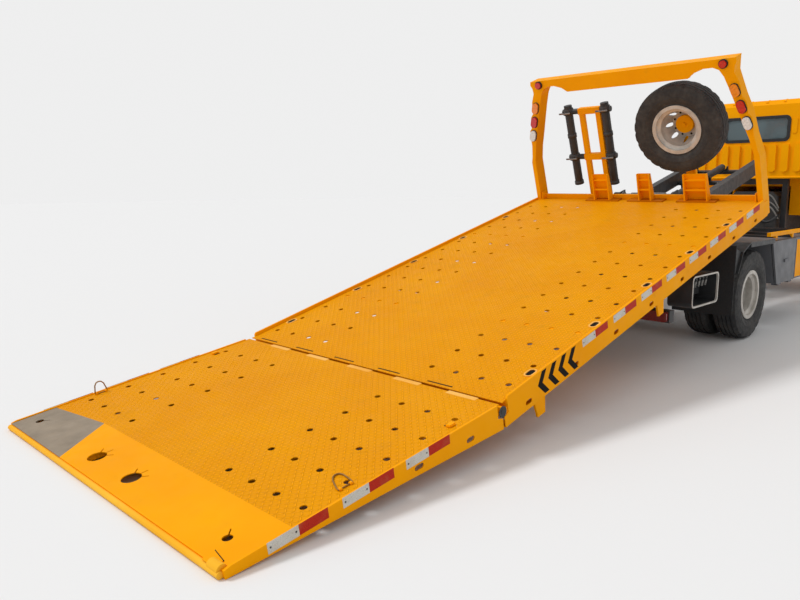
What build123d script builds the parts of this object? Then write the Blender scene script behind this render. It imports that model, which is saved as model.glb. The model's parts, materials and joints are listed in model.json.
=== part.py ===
from build123d import *

import os
from math import asin, atan2, cos, hypot, radians, sin, tan

# Flatbed tow truck: a cab-over chassis that carries a deck on a tilting slide frame.
# X points forward, Y to the left, Z up; the ground is Z = 0. Lengths are in millimetres.

# Wheels and chassis
wheelbase = 3800.0
front_overhang = 1110.0
tyre_radius = 404.0
tyre_width = 215.0
rim_radius = 210.0
front_wheel_y = 880.0
rear_wheel_y = 943.0
dual_spacing = 268.0
kingpin_y = 745.0
rail_top_z = 705.0
rail_depth = 170.0
rail_outer_y = 375.0
rail_flange = 65.0
rail_web = 7.0

# Tilt frame, measured along (u) and square to (w) its rails from the tilt pin
pivot_setback = 970.0
pivot_z = 750.0
tilt_deg = 14.5
chassis_tail_setback = 700.0
pin_radius = 20.0
sleeve_radius = 32.0
tilt_rail_y = 350.0
tilt_rail_width = 76.0
tilt_rail_low = 15.0
tilt_rail_depth = 140.0
tilt_rail_rear = 95.0
tilt_frame_reach = 3050.0
plate_wall = 6.0

# Deck, in the tilt frame's own lengths
deck_width = 2300.0
deck_top_w = 280.0
floor_thickness = 5.0
deck_front_u = 950.0
deck_length = 3905.0
lip_height = 22.0
side_rail_depth = 140.0
side_rail_width = 50.0
cross_depth = 80.0
slide_travel = 2600.0
hinge_drop = 45.0
hinge_gap = 45.0
hinge_radius = 27.0
hinge_pin_radius = 11.0
sill_depth = 130.0
floor_gap = 14.0

# Tail section, measured from the hinge pin
tail_length = 1620.0
tail_tip_depth = 35.0
tail_bar_radius = 15.0

# Headboard and what stands on the deck's front edge
head_height = 1250.0
head_lean_deg = 5.8
head_depth = 80.0
spare_y = -420.0
spare_height = 665.0

# Cab
cab_half_width = 1020.0
cab_roof_z = 2420.0
cab_wall = 35.0
cab_rear_to_axle = 900.0
door_gap = 6.0
glass_inset = 12.0
glass_thickness = 6.0

# Places that follow from the sizes above
pivot_rel = -pivot_setback
tilt = radians(tilt_deg)
hinge_u = deck_front_u - deck_length
hinge_w = deck_top_w - hinge_drop
hinge_rel = pivot_rel + hinge_u * cos(tilt) - hinge_w * sin(tilt)
hinge_z = pivot_z + hinge_u * sin(tilt) + hinge_w * cos(tilt)
tip_x = hinge_gap + tail_length
tip_w = hinge_drop - tail_tip_depth
tail_pitch = asin(hinge_z / hypot(tip_x, tip_w)) + atan2(tip_w, tip_x)
bar_w = tip_w + tail_bar_radius + 2.0
tail_end_rel = hinge_rel - (tip_x + 10.0) * cos(tail_pitch) - bar_w * sin(tail_pitch) - tail_bar_radius
bumper_rel = wheelbase + front_overhang
rear_axle_x = -(tail_end_rel + bumper_rel) / 2
front_axle_x = rear_axle_x + wheelbase
bumper_x = rear_axle_x + bumper_rel
pivot_x = rear_axle_x + pivot_rel
hinge_x = rear_axle_x + hinge_rel
chassis_tail_x = pivot_x - chassis_tail_setback
cab_rear_x = front_axle_x - cab_rear_to_axle
rail_bottom_z = rail_top_z - rail_depth
tilt_rail_top = tilt_rail_low + tilt_rail_depth
half_deck = deck_width / 2

tilt_plane = Plane(
    origin=(pivot_x, 0, pivot_z),
    x_dir=(cos(tilt), 0, sin(tilt)),
    z_dir=(-sin(tilt), 0, cos(tilt)),
)
tail_plane = Plane(
    origin=(hinge_x, 0, hinge_z),
    x_dir=(cos(tail_pitch), 0, sin(tail_pitch)),
    z_dir=(-sin(tail_pitch), 0, cos(tail_pitch)),
)
head_lean = radians(head_lean_deg)
front_plane = Plane(tilt_plane.location * Location((deck_front_u, 0, deck_top_w)))
head_plane = Plane(front_plane.location * Location((0, 0, 0), (0, -head_lean_deg, 0)))

pieces = {}


def block(x, y, z, mode=Mode.ADD):
    """A box between two x, two y and two z values."""
    with Locations(((x[0] + x[1]) / 2, (y[0] + y[1]) / 2, (z[0] + z[1]) / 2)):
        Box(x[1] - x[0], y[1] - y[0], z[1] - z[0], mode=mode)


def side_prism(points, y, mode=Mode.ADD):
    """An outline in x and z, carried across from y[0] to y[1]."""
    with BuildSketch(Plane.XZ.offset(-y[1])) as outline:
        with BuildLine():
            Polyline(*points, close=True)
        make_face()
    extrude(outline.sketch, amount=y[1] - y[0], mode=mode)


def front_prism(points, x, mode=Mode.ADD):
    """An outline in y and z, carried along from x[0] to x[1]."""
    with BuildSketch(Plane.YZ.offset(x[0])) as outline:
        with BuildLine():
            Polyline(*points, close=True)
        make_face()
    extrude(outline.sketch, amount=x[1] - x[0], mode=mode)


def rod(start, end, radius, bore=0.0, mode=Mode.ADD):
    """A round bar or tube between two points."""
    axis = Vector(*end) - Vector(*start)
    with BuildSketch(Plane(origin=start, z_dir=axis)) as section:
        Circle(radius)
        if bore:
            Circle(bore, mode=Mode.SUBTRACT)
    extrude(section.sketch, amount=axis.length, mode=mode)


def keep(name, part, plane=None):
    """Set a finished piece in its place and give it its name."""
    placed = part.moved(plane.location) if plane else part
    placed.label = name
    pieces[name] = placed


# Chassis frame: two C rails, cross members and the spring hangers
spring_y = 432.0
spring_width = 70.0
spring_half = 560.0
leaf_thickness = 14.0
leaf_count = 4
leaf_rise = 78.0
axle_radius = 58.0
axle_top_z = tyre_radius + axle_radius
spring_end_z = axle_top_z + leaf_thickness * leaf_count + leaf_rise
hanger_width = 90.0
chassis_front_x = bumper_x - 190.0
rail_inner_y = rail_outer_y - rail_web
lift_y = 190.0
lift_base_x = rear_axle_x + 292.0
lift_base_z = 560.0
cab_rear_low_z = 1460.0
cab_floor_z = 1000.0
cab_front_low_z = 860.0
cab_posts = (
    # x, top z: the arch under the cab's rear lip, then the front mounts
    (cab_rear_x + 185.0, cab_rear_low_z),
    (front_axle_x + 680.0, cab_front_low_z),
)
cross_members = (
    # offset from the rear axle, lower z, upper z
    (chassis_tail_x + 40.0 - rear_axle_x, rail_bottom_z + 15.0, rail_bottom_z + 95.0),
    (-620.0, rail_bottom_z + 20.0, rail_top_z - 20.0),
    (205.0, rail_bottom_z + 10.0, rail_top_z - 15.0),
    (1160.0, rail_bottom_z + 60.0, rail_bottom_z + 120.0),
    (2300.0, rail_top_z - 42.0, rail_top_z - 8.0),
    (wheelbase + 780.0, rail_bottom_z + 20.0, rail_top_z - 20.0),
)
with BuildPart() as chassis_frame:
    with BuildSketch(Plane.YZ.offset(chassis_tail_x)):
        with Locations((rail_outer_y - rail_flange / 2, rail_top_z - rail_depth / 2)):
            Rectangle(rail_flange, rail_depth)
        with Locations((rail_outer_y - rail_web - rail_flange / 2, rail_top_z - rail_depth / 2)):
            Rectangle(rail_flange, rail_depth - 2 * rail_web, mode=Mode.SUBTRACT)
    extrude(amount=chassis_front_x - chassis_tail_x)
    for axle_x in (rear_axle_x, front_axle_x):
        for end_x in (axle_x - spring_half, axle_x + spring_half):
            block(
                (end_x - hanger_width / 2, end_x + hanger_width / 2),
                (rail_outer_y - 2, spring_y + spring_width / 2),
                (spring_end_z + 0.3, rail_top_z - 18.0),
            )
    for lug_y in (lift_y - 48, lift_y + 38):
        side_prism(
            (
                (rear_axle_x + 234, rail_bottom_z + 15),
                (lift_base_x + 20, lift_base_z - 35),
                (lift_base_x + 35, lift_base_z),
                (lift_base_x + 20, lift_base_z + 32),
                (rear_axle_x + 234, rail_top_z - 20),
            ),
            (lug_y, lug_y + 10),
        )
    rod(
        (lift_base_x, lift_y - 60, lift_base_z),
        (lift_base_x, lift_y + 60, lift_base_z),
        19,
        mode=Mode.SUBTRACT,
    )
    for post_x, post_top_z in cab_posts:
        block(
            (post_x - 35, post_x + 35),
            (rail_outer_y - rail_flange, rail_outer_y),
            (rail_top_z - 5, post_top_z),
        )
    mirror(about=Plane.XZ)
    block(
        (cab_posts[0][0] - 35, cab_posts[0][0] + 35),
        (-rail_outer_y, rail_outer_y),
        (cab_posts[0][1] - 70, cab_posts[0][1]),
    )
    for offset_x, low_z, high_z in cross_members:
        member_x = rear_axle_x + offset_x
        block((member_x - 30, member_x + 30), (-rail_inner_y, rail_inner_y), (low_z, high_z))
keep("chassis_frame", chassis_frame.part)

# Sub-frame: strips on the rails, with the two forks that hold the tilt pins
fork_inner = 45.0
fork_wall = 10.0
strip_height = tilt_rail_low + pivot_z - rail_top_z - 10.0
sub_frame_front_x = pivot_x + tilt_frame_reach - 40.0
with BuildPart() as sub_frame:
    block(
        (pivot_x + tilt_rail_rear + 25.0, sub_frame_front_x),
        (rail_outer_y - rail_flange, rail_outer_y),
        (rail_top_z, rail_top_z + strip_height),
    )
    block(
        (pivot_x - 60.0, pivot_x + 60.0),
        (tilt_rail_y - fork_inner - fork_wall, tilt_rail_y + fork_inner + fork_wall),
        (rail_top_z, rail_top_z + 8.0),
    )
    for fork_y in (tilt_rail_y - fork_inner - fork_wall, tilt_rail_y + fork_inner):
        side_prism(
            (
                (pivot_x - 60, rail_top_z + 8),
                (pivot_x + 60, rail_top_z + 8),
                (pivot_x + 35, pivot_z + 32),
                (pivot_x - 35, pivot_z + 32),
            ),
            (fork_y, fork_y + fork_wall),
        )
    fork_reach = fork_inner + fork_wall + 6.0
    rod(
        (pivot_x, tilt_rail_y - fork_reach, pivot_z),
        (pivot_x, tilt_rail_y + fork_reach, pivot_z),
        pin_radius,
    )
    mirror(about=Plane.XZ)
keep("sub_frame", sub_frame.part)

# Axles and springs
beam_drop = 95.0
kingpin_radius = 18.0
with BuildPart() as rear_axle:
    rod(
        (rear_axle_x, -rear_wheel_y + 40, tyre_radius),
        (rear_axle_x, rear_wheel_y - 40, tyre_radius),
        axle_radius,
    )
    with BuildSketch(Plane.XZ):
        with Locations((rear_axle_x, tyre_radius)):
            Circle(165)
    extrude(amount=95, both=True)
    fillet(rear_axle.edges().filter_by(GeomType.CIRCLE).filter_by(lambda e: e.radius > 160), 45)
    rod((rear_axle_x, 0, tyre_radius + 20), (rear_axle_x + 300, 0, tyre_radius + 40), 60)
keep("rear_axle", rear_axle.part)

with BuildPart() as front_axle:
    front_prism(
        (
            (-kingpin_y + 45, tyre_radius - 45),
            (-kingpin_y + 150, tyre_radius - 45 - beam_drop),
            (kingpin_y - 150, tyre_radius - 45 - beam_drop),
            (kingpin_y - 45, tyre_radius - 45),
            (kingpin_y - 45, tyre_radius + 45),
            (kingpin_y - 170, tyre_radius + 45 - beam_drop),
            (-kingpin_y + 170, tyre_radius + 45 - beam_drop),
            (-kingpin_y + 45, tyre_radius + 45),
        ),
        (front_axle_x - 40, front_axle_x + 40),
    )
    for side in (-1, 1):
        rod(
            (front_axle_x, side * kingpin_y, tyre_radius - 62),
            (front_axle_x, side * kingpin_y, tyre_radius + 62),
            46,
        )
        pad_y = sorted((side * (spring_y - spring_width / 2), side * (spring_y + spring_width / 2)))
        block((front_axle_x - 40, front_axle_x + 40), pad_y, (tyre_radius - 60, axle_top_z))
        rod(
            (front_axle_x, side * kingpin_y, tyre_radius - 70),
            (front_axle_x, side * kingpin_y, tyre_radius + 70),
            kingpin_radius + 0.7,
            mode=Mode.SUBTRACT,
        )
keep("front_axle", front_axle.part)

with BuildPart() as leaf_springs:
    for axle_x in (front_axle_x, rear_axle_x):
        for leaf in range(leaf_count):
            half = spring_half * (1 - 0.2 * leaf)
            rise = leaf_rise * (1 - 0.2 * leaf) ** 2
            base_z = axle_top_z + leaf_thickness * (leaf_count - leaf)
            with BuildSketch(Plane.XZ.offset(-spring_y - spring_width / 2)) as leaf_outline:
                with BuildLine():
                    ThreePointArc(
                        (axle_x - half, base_z + rise),
                        (axle_x, base_z),
                        (axle_x + half, base_z + rise),
                    )
                    Line((axle_x + half, base_z + rise), (axle_x + half, base_z + rise - leaf_thickness))
                    ThreePointArc(
                        (axle_x + half, base_z + rise - leaf_thickness),
                        (axle_x, base_z - leaf_thickness),
                        (axle_x - half, base_z + rise - leaf_thickness),
                    )
                    Line((axle_x - half, base_z + rise - leaf_thickness), (axle_x - half, base_z + rise))
                make_face()
            extrude(leaf_outline.sketch, amount=spring_width)
    mirror(about=Plane.XZ)
keep("leaf_springs", leaf_springs.part)

# Knuckles: a fork round each kingpin boss, with the stub axle
with BuildPart() as knuckle:
    rod((front_axle_x, kingpin_y, tyre_radius - 96), (front_axle_x, kingpin_y, tyre_radius - 64), 44)
    rod((front_axle_x, kingpin_y, tyre_radius + 64), (front_axle_x, kingpin_y, tyre_radius + 96), 44)
    block(
        (front_axle_x - 34, front_axle_x + 34),
        (kingpin_y + 48, kingpin_y + 74),
        (tyre_radius - 96, tyre_radius + 96),
    )
    for low_z in (tyre_radius - 96, tyre_radius + 64):
        block((front_axle_x - 34, front_axle_x + 34), (kingpin_y, kingpin_y + 60), (low_z, low_z + 32))
    rod((front_axle_x, kingpin_y + 74, tyre_radius), (front_axle_x, front_wheel_y + 20, tyre_radius), 30)
    rod(
        (front_axle_x, kingpin_y, tyre_radius - 80),
        (front_axle_x, kingpin_y, tyre_radius + 80),
        kingpin_radius,
    )
knuckle_left = knuckle.part
keep("knuckle_left", knuckle_left)
keep("knuckle_right", mirror(knuckle_left, about=Plane.XZ))

# Wheels. Each section is drawn in radius and in distance outwards from the tyre's middle plane
rim_wall = 8.0
rim_half = 88.0
disc_wall = 8.0
hub_radius = 85.0
drum_radius = 150.0
disc_holes = 8
disc_hole_radius = 18.0
shaft_gap = 0.8
bead_radius = rim_radius - 12.0
well_radius = bead_radius - 38.0


def tyre_ring(middle_y):
    """One tyre about its own axle, with its middle plane at middle_y."""
    half = tyre_width / 2
    profile = (
        # distance from the middle plane as a share of half the width, radius
        (-0.68, bead_radius),
        (-0.72, rim_radius + 16),
        (-0.98, rim_radius + 80),
        (-0.97, tyre_radius - 45),
        (-0.86, tyre_radius - 9),
        (-0.50, tyre_radius),
        (0.50, tyre_radius),
        (0.86, tyre_radius - 9),
        (0.97, tyre_radius - 45),
        (0.98, rim_radius + 80),
        (0.72, rim_radius + 16),
        (0.68, bead_radius),
    )
    with BuildSketch(Plane.XY) as section:
        with BuildLine():
            Polyline(*((radius, middle_y + share * half) for share, radius in profile), close=True)
        make_face()
    revolve(section.sketch, axis=Axis.Y)


def rim_ring(middle_y, outward):
    """A rim and its dished disc; the disc's bolting face lies half the dual spacing to the other side."""
    face = dual_spacing / 2
    rim_profile = (
        # radius, distance outwards
        (rim_radius + 12, -rim_half),
        (rim_radius + 12, -rim_half + 10),
        (bead_radius, -rim_half + 10),
        (bead_radius, -20),
        (well_radius + rim_wall, -8),
        (well_radius + rim_wall, rim_half - 43),
        (bead_radius, rim_half - 31),
        (bead_radius, rim_half - 10),
        (rim_radius + 12, rim_half - 10),
        (rim_radius + 12, rim_half),
        (bead_radius - rim_wall, rim_half),
        (bead_radius - rim_wall, rim_half - 25),
        (well_radius, rim_half - 37),
        (well_radius, -14),
        (bead_radius - rim_wall, -26),
        (bead_radius - rim_wall, -rim_half),
    )
    disc_profile = (
        # radius, distance outwards
        (well_radius + 3, 6),
        (well_radius - 22, -face + 38),
        (hub_radius + 40, -face + disc_wall),
        (hub_radius - 25, -face + disc_wall),
        (hub_radius - 25, -face),
        (hub_radius + 44, -face),
        (well_radius - 14, -face + 34),
        (well_radius + 3, -14),
    )
    for profile in (rim_profile, disc_profile):
        with BuildSketch(Plane.XY) as section:
            with BuildLine():
                Polyline(*((radius, middle_y + outward * along) for radius, along in profile), close=True)
            make_face()
        revolve(section.sketch, axis=Axis.Y)
    hole_from = middle_y - outward * (face + 5)
    with BuildSketch(Plane(origin=(0, hole_from, 0), z_dir=(0, outward, 0))) as holes:
        with PolarLocations(well_radius - 22, disc_holes):
            Circle(disc_hole_radius)
    extrude(holes.sketch, amount=face - 10, mode=Mode.SUBTRACT)


def place_wheel(name, part, axle_x):
    """Set the left wheel's piece on its axle, and its mirror image on the right."""
    left = part.moved(Location((axle_x, 0, tyre_radius)))
    keep(name + "_left", left)
    keep(name + "_right", mirror(left, about=Plane.XZ))


inner_tyre_y = rear_wheel_y - dual_spacing
dual_face_y = rear_wheel_y - dual_spacing / 2
axle_end_y = rear_wheel_y - 40.0
with BuildPart() as tyres_rear:
    tyre_ring(rear_wheel_y)
    tyre_ring(inner_tyre_y)
place_wheel("tyres_rear", tyres_rear.part, rear_axle_x)

with BuildPart() as rims_rear:
    rim_ring(rear_wheel_y, 1)
    rim_ring(inner_tyre_y, -1)
    rod((0, dual_face_y - 190, 0), (0, dual_face_y, 0), drum_radius - 20, axle_radius + shaft_gap)
    rod((0, dual_face_y - 5, 0), (0, axle_end_y + 8, 0), hub_radius, axle_radius + shaft_gap)
    rod((0, axle_end_y + 8, 0), (0, axle_end_y + 24, 0), hub_radius)
place_wheel("rims_rear", rims_rear.part, rear_axle_x)

front_face_y = front_wheel_y + dual_spacing / 2
with BuildPart() as tyre_front:
    tyre_ring(front_wheel_y)
place_wheel("tyre_front", tyre_front.part, front_axle_x)

with BuildPart() as rim_front:
    rim_ring(front_wheel_y, -1)
    rod((0, kingpin_y + 82, 0), (0, front_wheel_y + 20, 0), drum_radius, 30 + shaft_gap)
    rod((0, front_wheel_y, 0), (0, front_face_y - 2, 0), hub_radius - 15, 30 + shaft_gap)
    rod((0, front_face_y - 10, 0), (0, front_face_y + 30, 0), hub_radius - 20)
place_wheel("rim_front", rim_front.part, front_axle_x)

# Engine block, gearbox and propeller shaft
engine_half_width = 280.0
engine_rear_x = cab_rear_x + 90.0
engine_front_x = front_axle_x + 330.0
engine_top_z = 1300.0
engine_low_z = 560.0
gearbox_x = engine_rear_x - 560.0
with BuildPart() as engine:
    block(
        (engine_rear_x, engine_front_x),
        (-engine_half_width, engine_half_width),
        (engine_low_z, engine_top_z),
    )
    chamfer(engine.edges().filter_by(Axis.X).group_by(Axis.Z)[-1], 60)
    rod((gearbox_x, 0, 625), (engine_rear_x, 0, 640), 125)
    block((gearbox_x + 90, engine_rear_x - 60), (-150, 150), (530, 720))
    rod((rear_axle_x + 301.4, 0, tyre_radius + 40), (gearbox_x + 10, 0, 620), 42)
    for side in (-1, 1):
        foot_y = sorted((side * (engine_half_width - 10), side * (rail_outer_y - rail_flange + 15)))
        for foot_x in (engine_rear_x + 250, engine_front_x - 160):
            block((foot_x - 30, foot_x + 30), foot_y, (rail_top_z + 0.3, rail_top_z + 30))
keep("engine", engine.part)

# Boxes and tanks hung beside the rails
box_top_z = 860.0
box_low_z = 440.0
box_outer_y = 1058.0
box_inner_y = 560.0
box_rail_y = 1000.0
box_rail_z = 900.0
box_rail_size = 36.0
box_start_x = rear_axle_x + 420.0
box_arch_slope = 200.0
box_split_x = box_start_x + 720.0
side_box_front_x = box_split_x + 780.0
door_hinge_y = -box_outer_y + 9.0
door_hinge_z = box_low_z - 10.0
door_pin_radius = 4.0
door_knuckle_radius = 8.0
door_straps = (box_start_x + box_arch_slope + 90, box_split_x - 110)
with BuildPart() as toolbox_right:
    side_prism(
        (
            (box_start_x + box_arch_slope, box_low_z),
            (box_split_x, box_low_z),
            (box_split_x, box_top_z),
            (box_start_x, box_top_z),
        ),
        (-box_outer_y + 24, -box_inner_y),
    )
    door_face = toolbox_right.faces().sort_by(Axis.Y)[0]
    offset(amount=-12, openings=door_face)
    for strap_x in door_straps:
        for low_x, high_x in ((strap_x - 50, strap_x - 20.5), (strap_x + 20.5, strap_x + 50)):
            rod(
                (low_x, door_hinge_y, door_hinge_z),
                (high_x, door_hinge_y, door_hinge_z),
                door_knuckle_radius,
            )
            block((low_x, high_x), (door_hinge_y, -box_outer_y + 60), (door_hinge_z - 8, door_hinge_z - 1))
            block((low_x, high_x), (-box_outer_y + 26, -box_outer_y + 60), (door_hinge_z - 8, box_low_z + 2))
        rod(
            (strap_x - 50, door_hinge_y, door_hinge_z),
            (strap_x + 50, door_hinge_y, door_hinge_z),
            door_pin_radius,
        )
keep("toolbox_right", toolbox_right.part)

with BuildPart() as toolbox_door:
    side_prism(
        (
            (box_start_x + box_arch_slope, box_low_z),
            (box_split_x - 6, box_low_z),
            (box_split_x - 6, box_top_z - 2),
            (box_start_x + 8, box_top_z - 2),
        ),
        (-box_outer_y, -box_outer_y + 18),
    )
    grip_x = (box_start_x + box_split_x) / 2 + 60
    block((grip_x - 60, grip_x + 60), (-box_outer_y - 14, -box_outer_y + 2), (640, 670))
    for strap_x in door_straps:
        low, high = (strap_x - 20, door_hinge_y, door_hinge_z), (strap_x + 20, door_hinge_y, door_hinge_z)
        rod(low, high, door_knuckle_radius)
        block(
            (strap_x - 20, strap_x + 20),
            (-box_outer_y + 3, -box_outer_y + 15),
            (door_hinge_z, box_low_z + 1),
        )
        rod(low, high, door_pin_radius + 0.5, mode=Mode.SUBTRACT)
keep("toolbox_door", toolbox_door.part)

with BuildPart() as side_box_right:
    block(
        (box_split_x + 6, side_box_front_x),
        (-box_outer_y, -box_inner_y),
        (box_low_z, box_top_z),
    )
    chamfer(side_box_right.edges().filter_by(Axis.X).group_by(Axis.Y)[0], 12)
keep("side_box_right", side_box_right.part)

tank_radius = 215.0
tank_start_x = box_start_x + 230.0
tank_length = 900.0
tank_z = box_top_z - tank_radius + 10.0
with BuildPart() as fuel_tank:
    with BuildSketch(Plane.YZ.offset(tank_start_x)):
        with Locations((box_outer_y - 30 - tank_radius, tank_z)):
            RectangleRounded(2 * tank_radius, 2 * tank_radius - 20, 90)
    extrude(amount=tank_length)
    rod(
        (tank_start_x + 140, box_outer_y - 100, box_top_z - 75),
        (tank_start_x + 140, box_outer_y - 27, box_top_z - 25),
        34,
    )
keep("fuel_tank", fuel_tank.part)

battery_start_x = tank_start_x + tank_length + 60.0
with BuildPart() as battery_box:
    block((battery_start_x, battery_start_x + 460), (box_inner_y + 60, box_outer_y), (560, box_top_z))
    chamfer(battery_box.edges().filter_by(Axis.X).group_by(Axis.Z)[-1], 15)
keep("battery_box", battery_box.part)

air_tank_z = 610.0
with BuildPart() as air_tanks:
    for tank_y in (-495, -760):
        tank_from = (side_box_front_x + 160, tank_y, air_tank_z)
        tank_to = (side_box_front_x + 640, tank_y, air_tank_z)
        rod(tank_from, tank_to, 105)
    fillet(air_tanks.edges().filter_by(GeomType.CIRCLE), 30)
    for strap_x in (side_box_front_x + 250, side_box_front_x + 550):
        block((strap_x - 20, strap_x + 20), (-760, -rail_outer_y - 0.3), (air_tank_z - 20, air_tank_z + 20))
keep("air_tanks", air_tanks.part)

# Side rails that carry the boxes, on outriggers from the chassis rails
box_rail_end_x = battery_start_x + 460.0
outrigger_xs = (box_start_x + 230, box_split_x + 2, side_box_front_x - 60, box_rail_end_x - 40)
post_inner_y = rail_outer_y + 25.0
stub_z = (rail_top_z - 45.0, rail_top_z - 5.0)


def rail_post(x, width, top_z):
    """A stub off the chassis rail, and a post that stands clear of the tilt frame above."""
    span = (x - width / 2, x + width / 2)
    block(span, (rail_outer_y + 0.3, post_inner_y + 30), stub_z)
    block(span, (post_inner_y, post_inner_y + 30), (stub_z[0], top_z))


with BuildPart() as box_rails:
    block(
        (box_start_x + 60, box_rail_end_x),
        (box_rail_y - box_rail_size / 2, box_rail_y + box_rail_size / 2),
        (box_rail_z, box_rail_z + box_rail_size),
    )
    for outrigger_x in outrigger_xs:
        rail_post(outrigger_x, 50, box_rail_z)
        block(
            (outrigger_x - 25, outrigger_x + 25),
            (post_inner_y, box_rail_y + box_rail_size / 2),
            (box_top_z + 0.3, box_rail_z + 0.5),
        )
    mirror(about=Plane.XZ)
keep("box_rails", box_rails.part)

# Mudguards over the rear wheels, flat on top, and the flaps that hang behind them
guard_top_z = 892.0
guard_wall = 7.0
guard_inner_y = rear_wheel_y - dual_spacing - tyre_width / 2 - 8.0
guard_outer_y = 1084.0
guard_rear_x = rear_axle_x - tyre_radius - 95.0
guard_profile = (
    (guard_rear_x, 640.0),
    (guard_rear_x + 95.0, guard_top_z - 70.0),
    (rear_axle_x - 230.0, guard_top_z),
    (box_start_x + 30.0, guard_top_z),
    (box_start_x + 30.0, guard_top_z - guard_wall),
    (rear_axle_x - 227.0, guard_top_z - guard_wall),
    (guard_rear_x + 100.0, guard_top_z - 70.0 - guard_wall),
    (guard_rear_x + guard_wall, 637.0),
)
flap_x = guard_rear_x - 70.0
flap_wall = 8.0
flap_z = (285.0, 885.0)
hanger_wall = 5.0
hanger_low_z = 655.0
hanger_web_ys = (guard_inner_y + 20.0, guard_outer_y - 26.0)
guard_stays = (
    # offset from the axle, top z
    (-300.0, guard_top_z - 28.0),
    (box_start_x - 25.0 - rear_axle_x, guard_top_z - 5.0),
)
with BuildPart() as mudguards:
    side_prism(guard_profile, (guard_inner_y, guard_outer_y))
    side_prism(
        (
            (rear_axle_x - 230.0, guard_top_z - 42),
            (box_start_x - 20.0, guard_top_z - 42),
            (box_start_x - 20.0, guard_top_z - 2),
            (rear_axle_x - 230.0, guard_top_z - 2),
        ),
        (guard_outer_y - 5, guard_outer_y),
    )
    for stay_offset, stay_top_z in guard_stays:
        stay_x = rear_axle_x + stay_offset
        rail_post(stay_x, 34, stay_top_z)
        block((stay_x - 14, stay_x + 14), (post_inner_y, guard_inner_y + 60), (stay_top_z - 34, stay_top_z))
    block((flap_x, flap_x + hanger_wall), (guard_inner_y, guard_outer_y), (hanger_low_z, flap_z[1]))
    for web_y in hanger_web_ys:
        side_prism(
            (
                (flap_x + 1, hanger_low_z + 5),
                (guard_rear_x + 3, 641.0),
                (guard_rear_x + 97, guard_top_z - 73.0),
                (flap_x + 1, flap_z[1] - 15),
            ),
            (web_y, web_y + 6),
        )
    mirror(about=Plane.XZ)
keep("mudguards", mudguards.part)

with BuildPart() as mudflaps:
    block((flap_x - flap_wall - 0.3, flap_x - 0.3), (guard_inner_y + 4, guard_outer_y - 2), flap_z)
    mirror(about=Plane.XZ)
keep("mudflaps", mudflaps.part)

# Control box behind the right rear wheel: an open frame with a row of levers
control_x = (pivot_x - 470.0, pivot_x + 30.0)
control_z = (458.0, 705.0)
control_outer_y = 1088.0
control_depth = 190.0
lever_count = 6
with BuildPart() as control_box:
    block(control_x, (-control_outer_y, -control_outer_y + control_depth), control_z)
    fillet(control_box.edges().filter_by(Axis.Y), 40)
    front_face = control_box.faces().sort_by(Axis.Y)[0]
    offset(amount=-10, openings=front_face)
    arm_y = (-control_outer_y + control_depth - 5, -rail_outer_y - 0.3)
    for arm_x in (control_x[0] + 80, control_x[1] - 80):
        block((arm_x - 25, arm_x + 25), arm_y, (control_z[1] - 80, control_z[1] - 30))
    block(
        (control_x[0] + 50, control_x[1] - 50),
        (-control_outer_y + control_depth - 60, -control_outer_y + control_depth - 9),
        (control_z[0] + 60, control_z[0] + 150),
    )
    for lever in range(lever_count):
        lever_x = control_x[0] + 85 + lever * (control_x[1] - control_x[0] - 170) / (lever_count - 1)
        lever_y = -control_outer_y + control_depth - 60
        rod((lever_x, lever_y + 2, control_z[0] + 120), (lever_x, lever_y - 60, control_z[0] + 190), 6)
        with Locations((lever_x, lever_y - 62, control_z[0] + 192)):
            Sphere(14)
keep("control_box", control_box.part)

# Under-run bar across the tail, with the lamps on its ends
bar_x = chassis_tail_x - 20.0
with BuildPart() as underrun_bar:
    block((bar_x - 40, bar_x + 40), (-1050, 1050), (385, 475))
    for arm_y in (-340, 340):
        block((bar_x - 30, bar_x + 110), (arm_y - 32, arm_y + 32), (470, rail_bottom_z - 0.3))
keep("underrun_bar", underrun_bar.part)

with BuildPart() as tail_lamps:
    block((bar_x - 72, bar_x - 40.3), (-1040, -700), (392, 468))
    fillet(tail_lamps.edges().filter_by(Axis.X), 18)
    mirror(about=Plane.XZ)
keep("tail_lamps", tail_lamps.part)

# Cab. Side outline in x (from the rear wall) and z; front outline in y and z
cab_length = bumper_x - 40.0 - cab_rear_x
cab_step_x = 380.0
arch_front = front_axle_x + 522.0
belt_z = 1560.0


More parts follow.
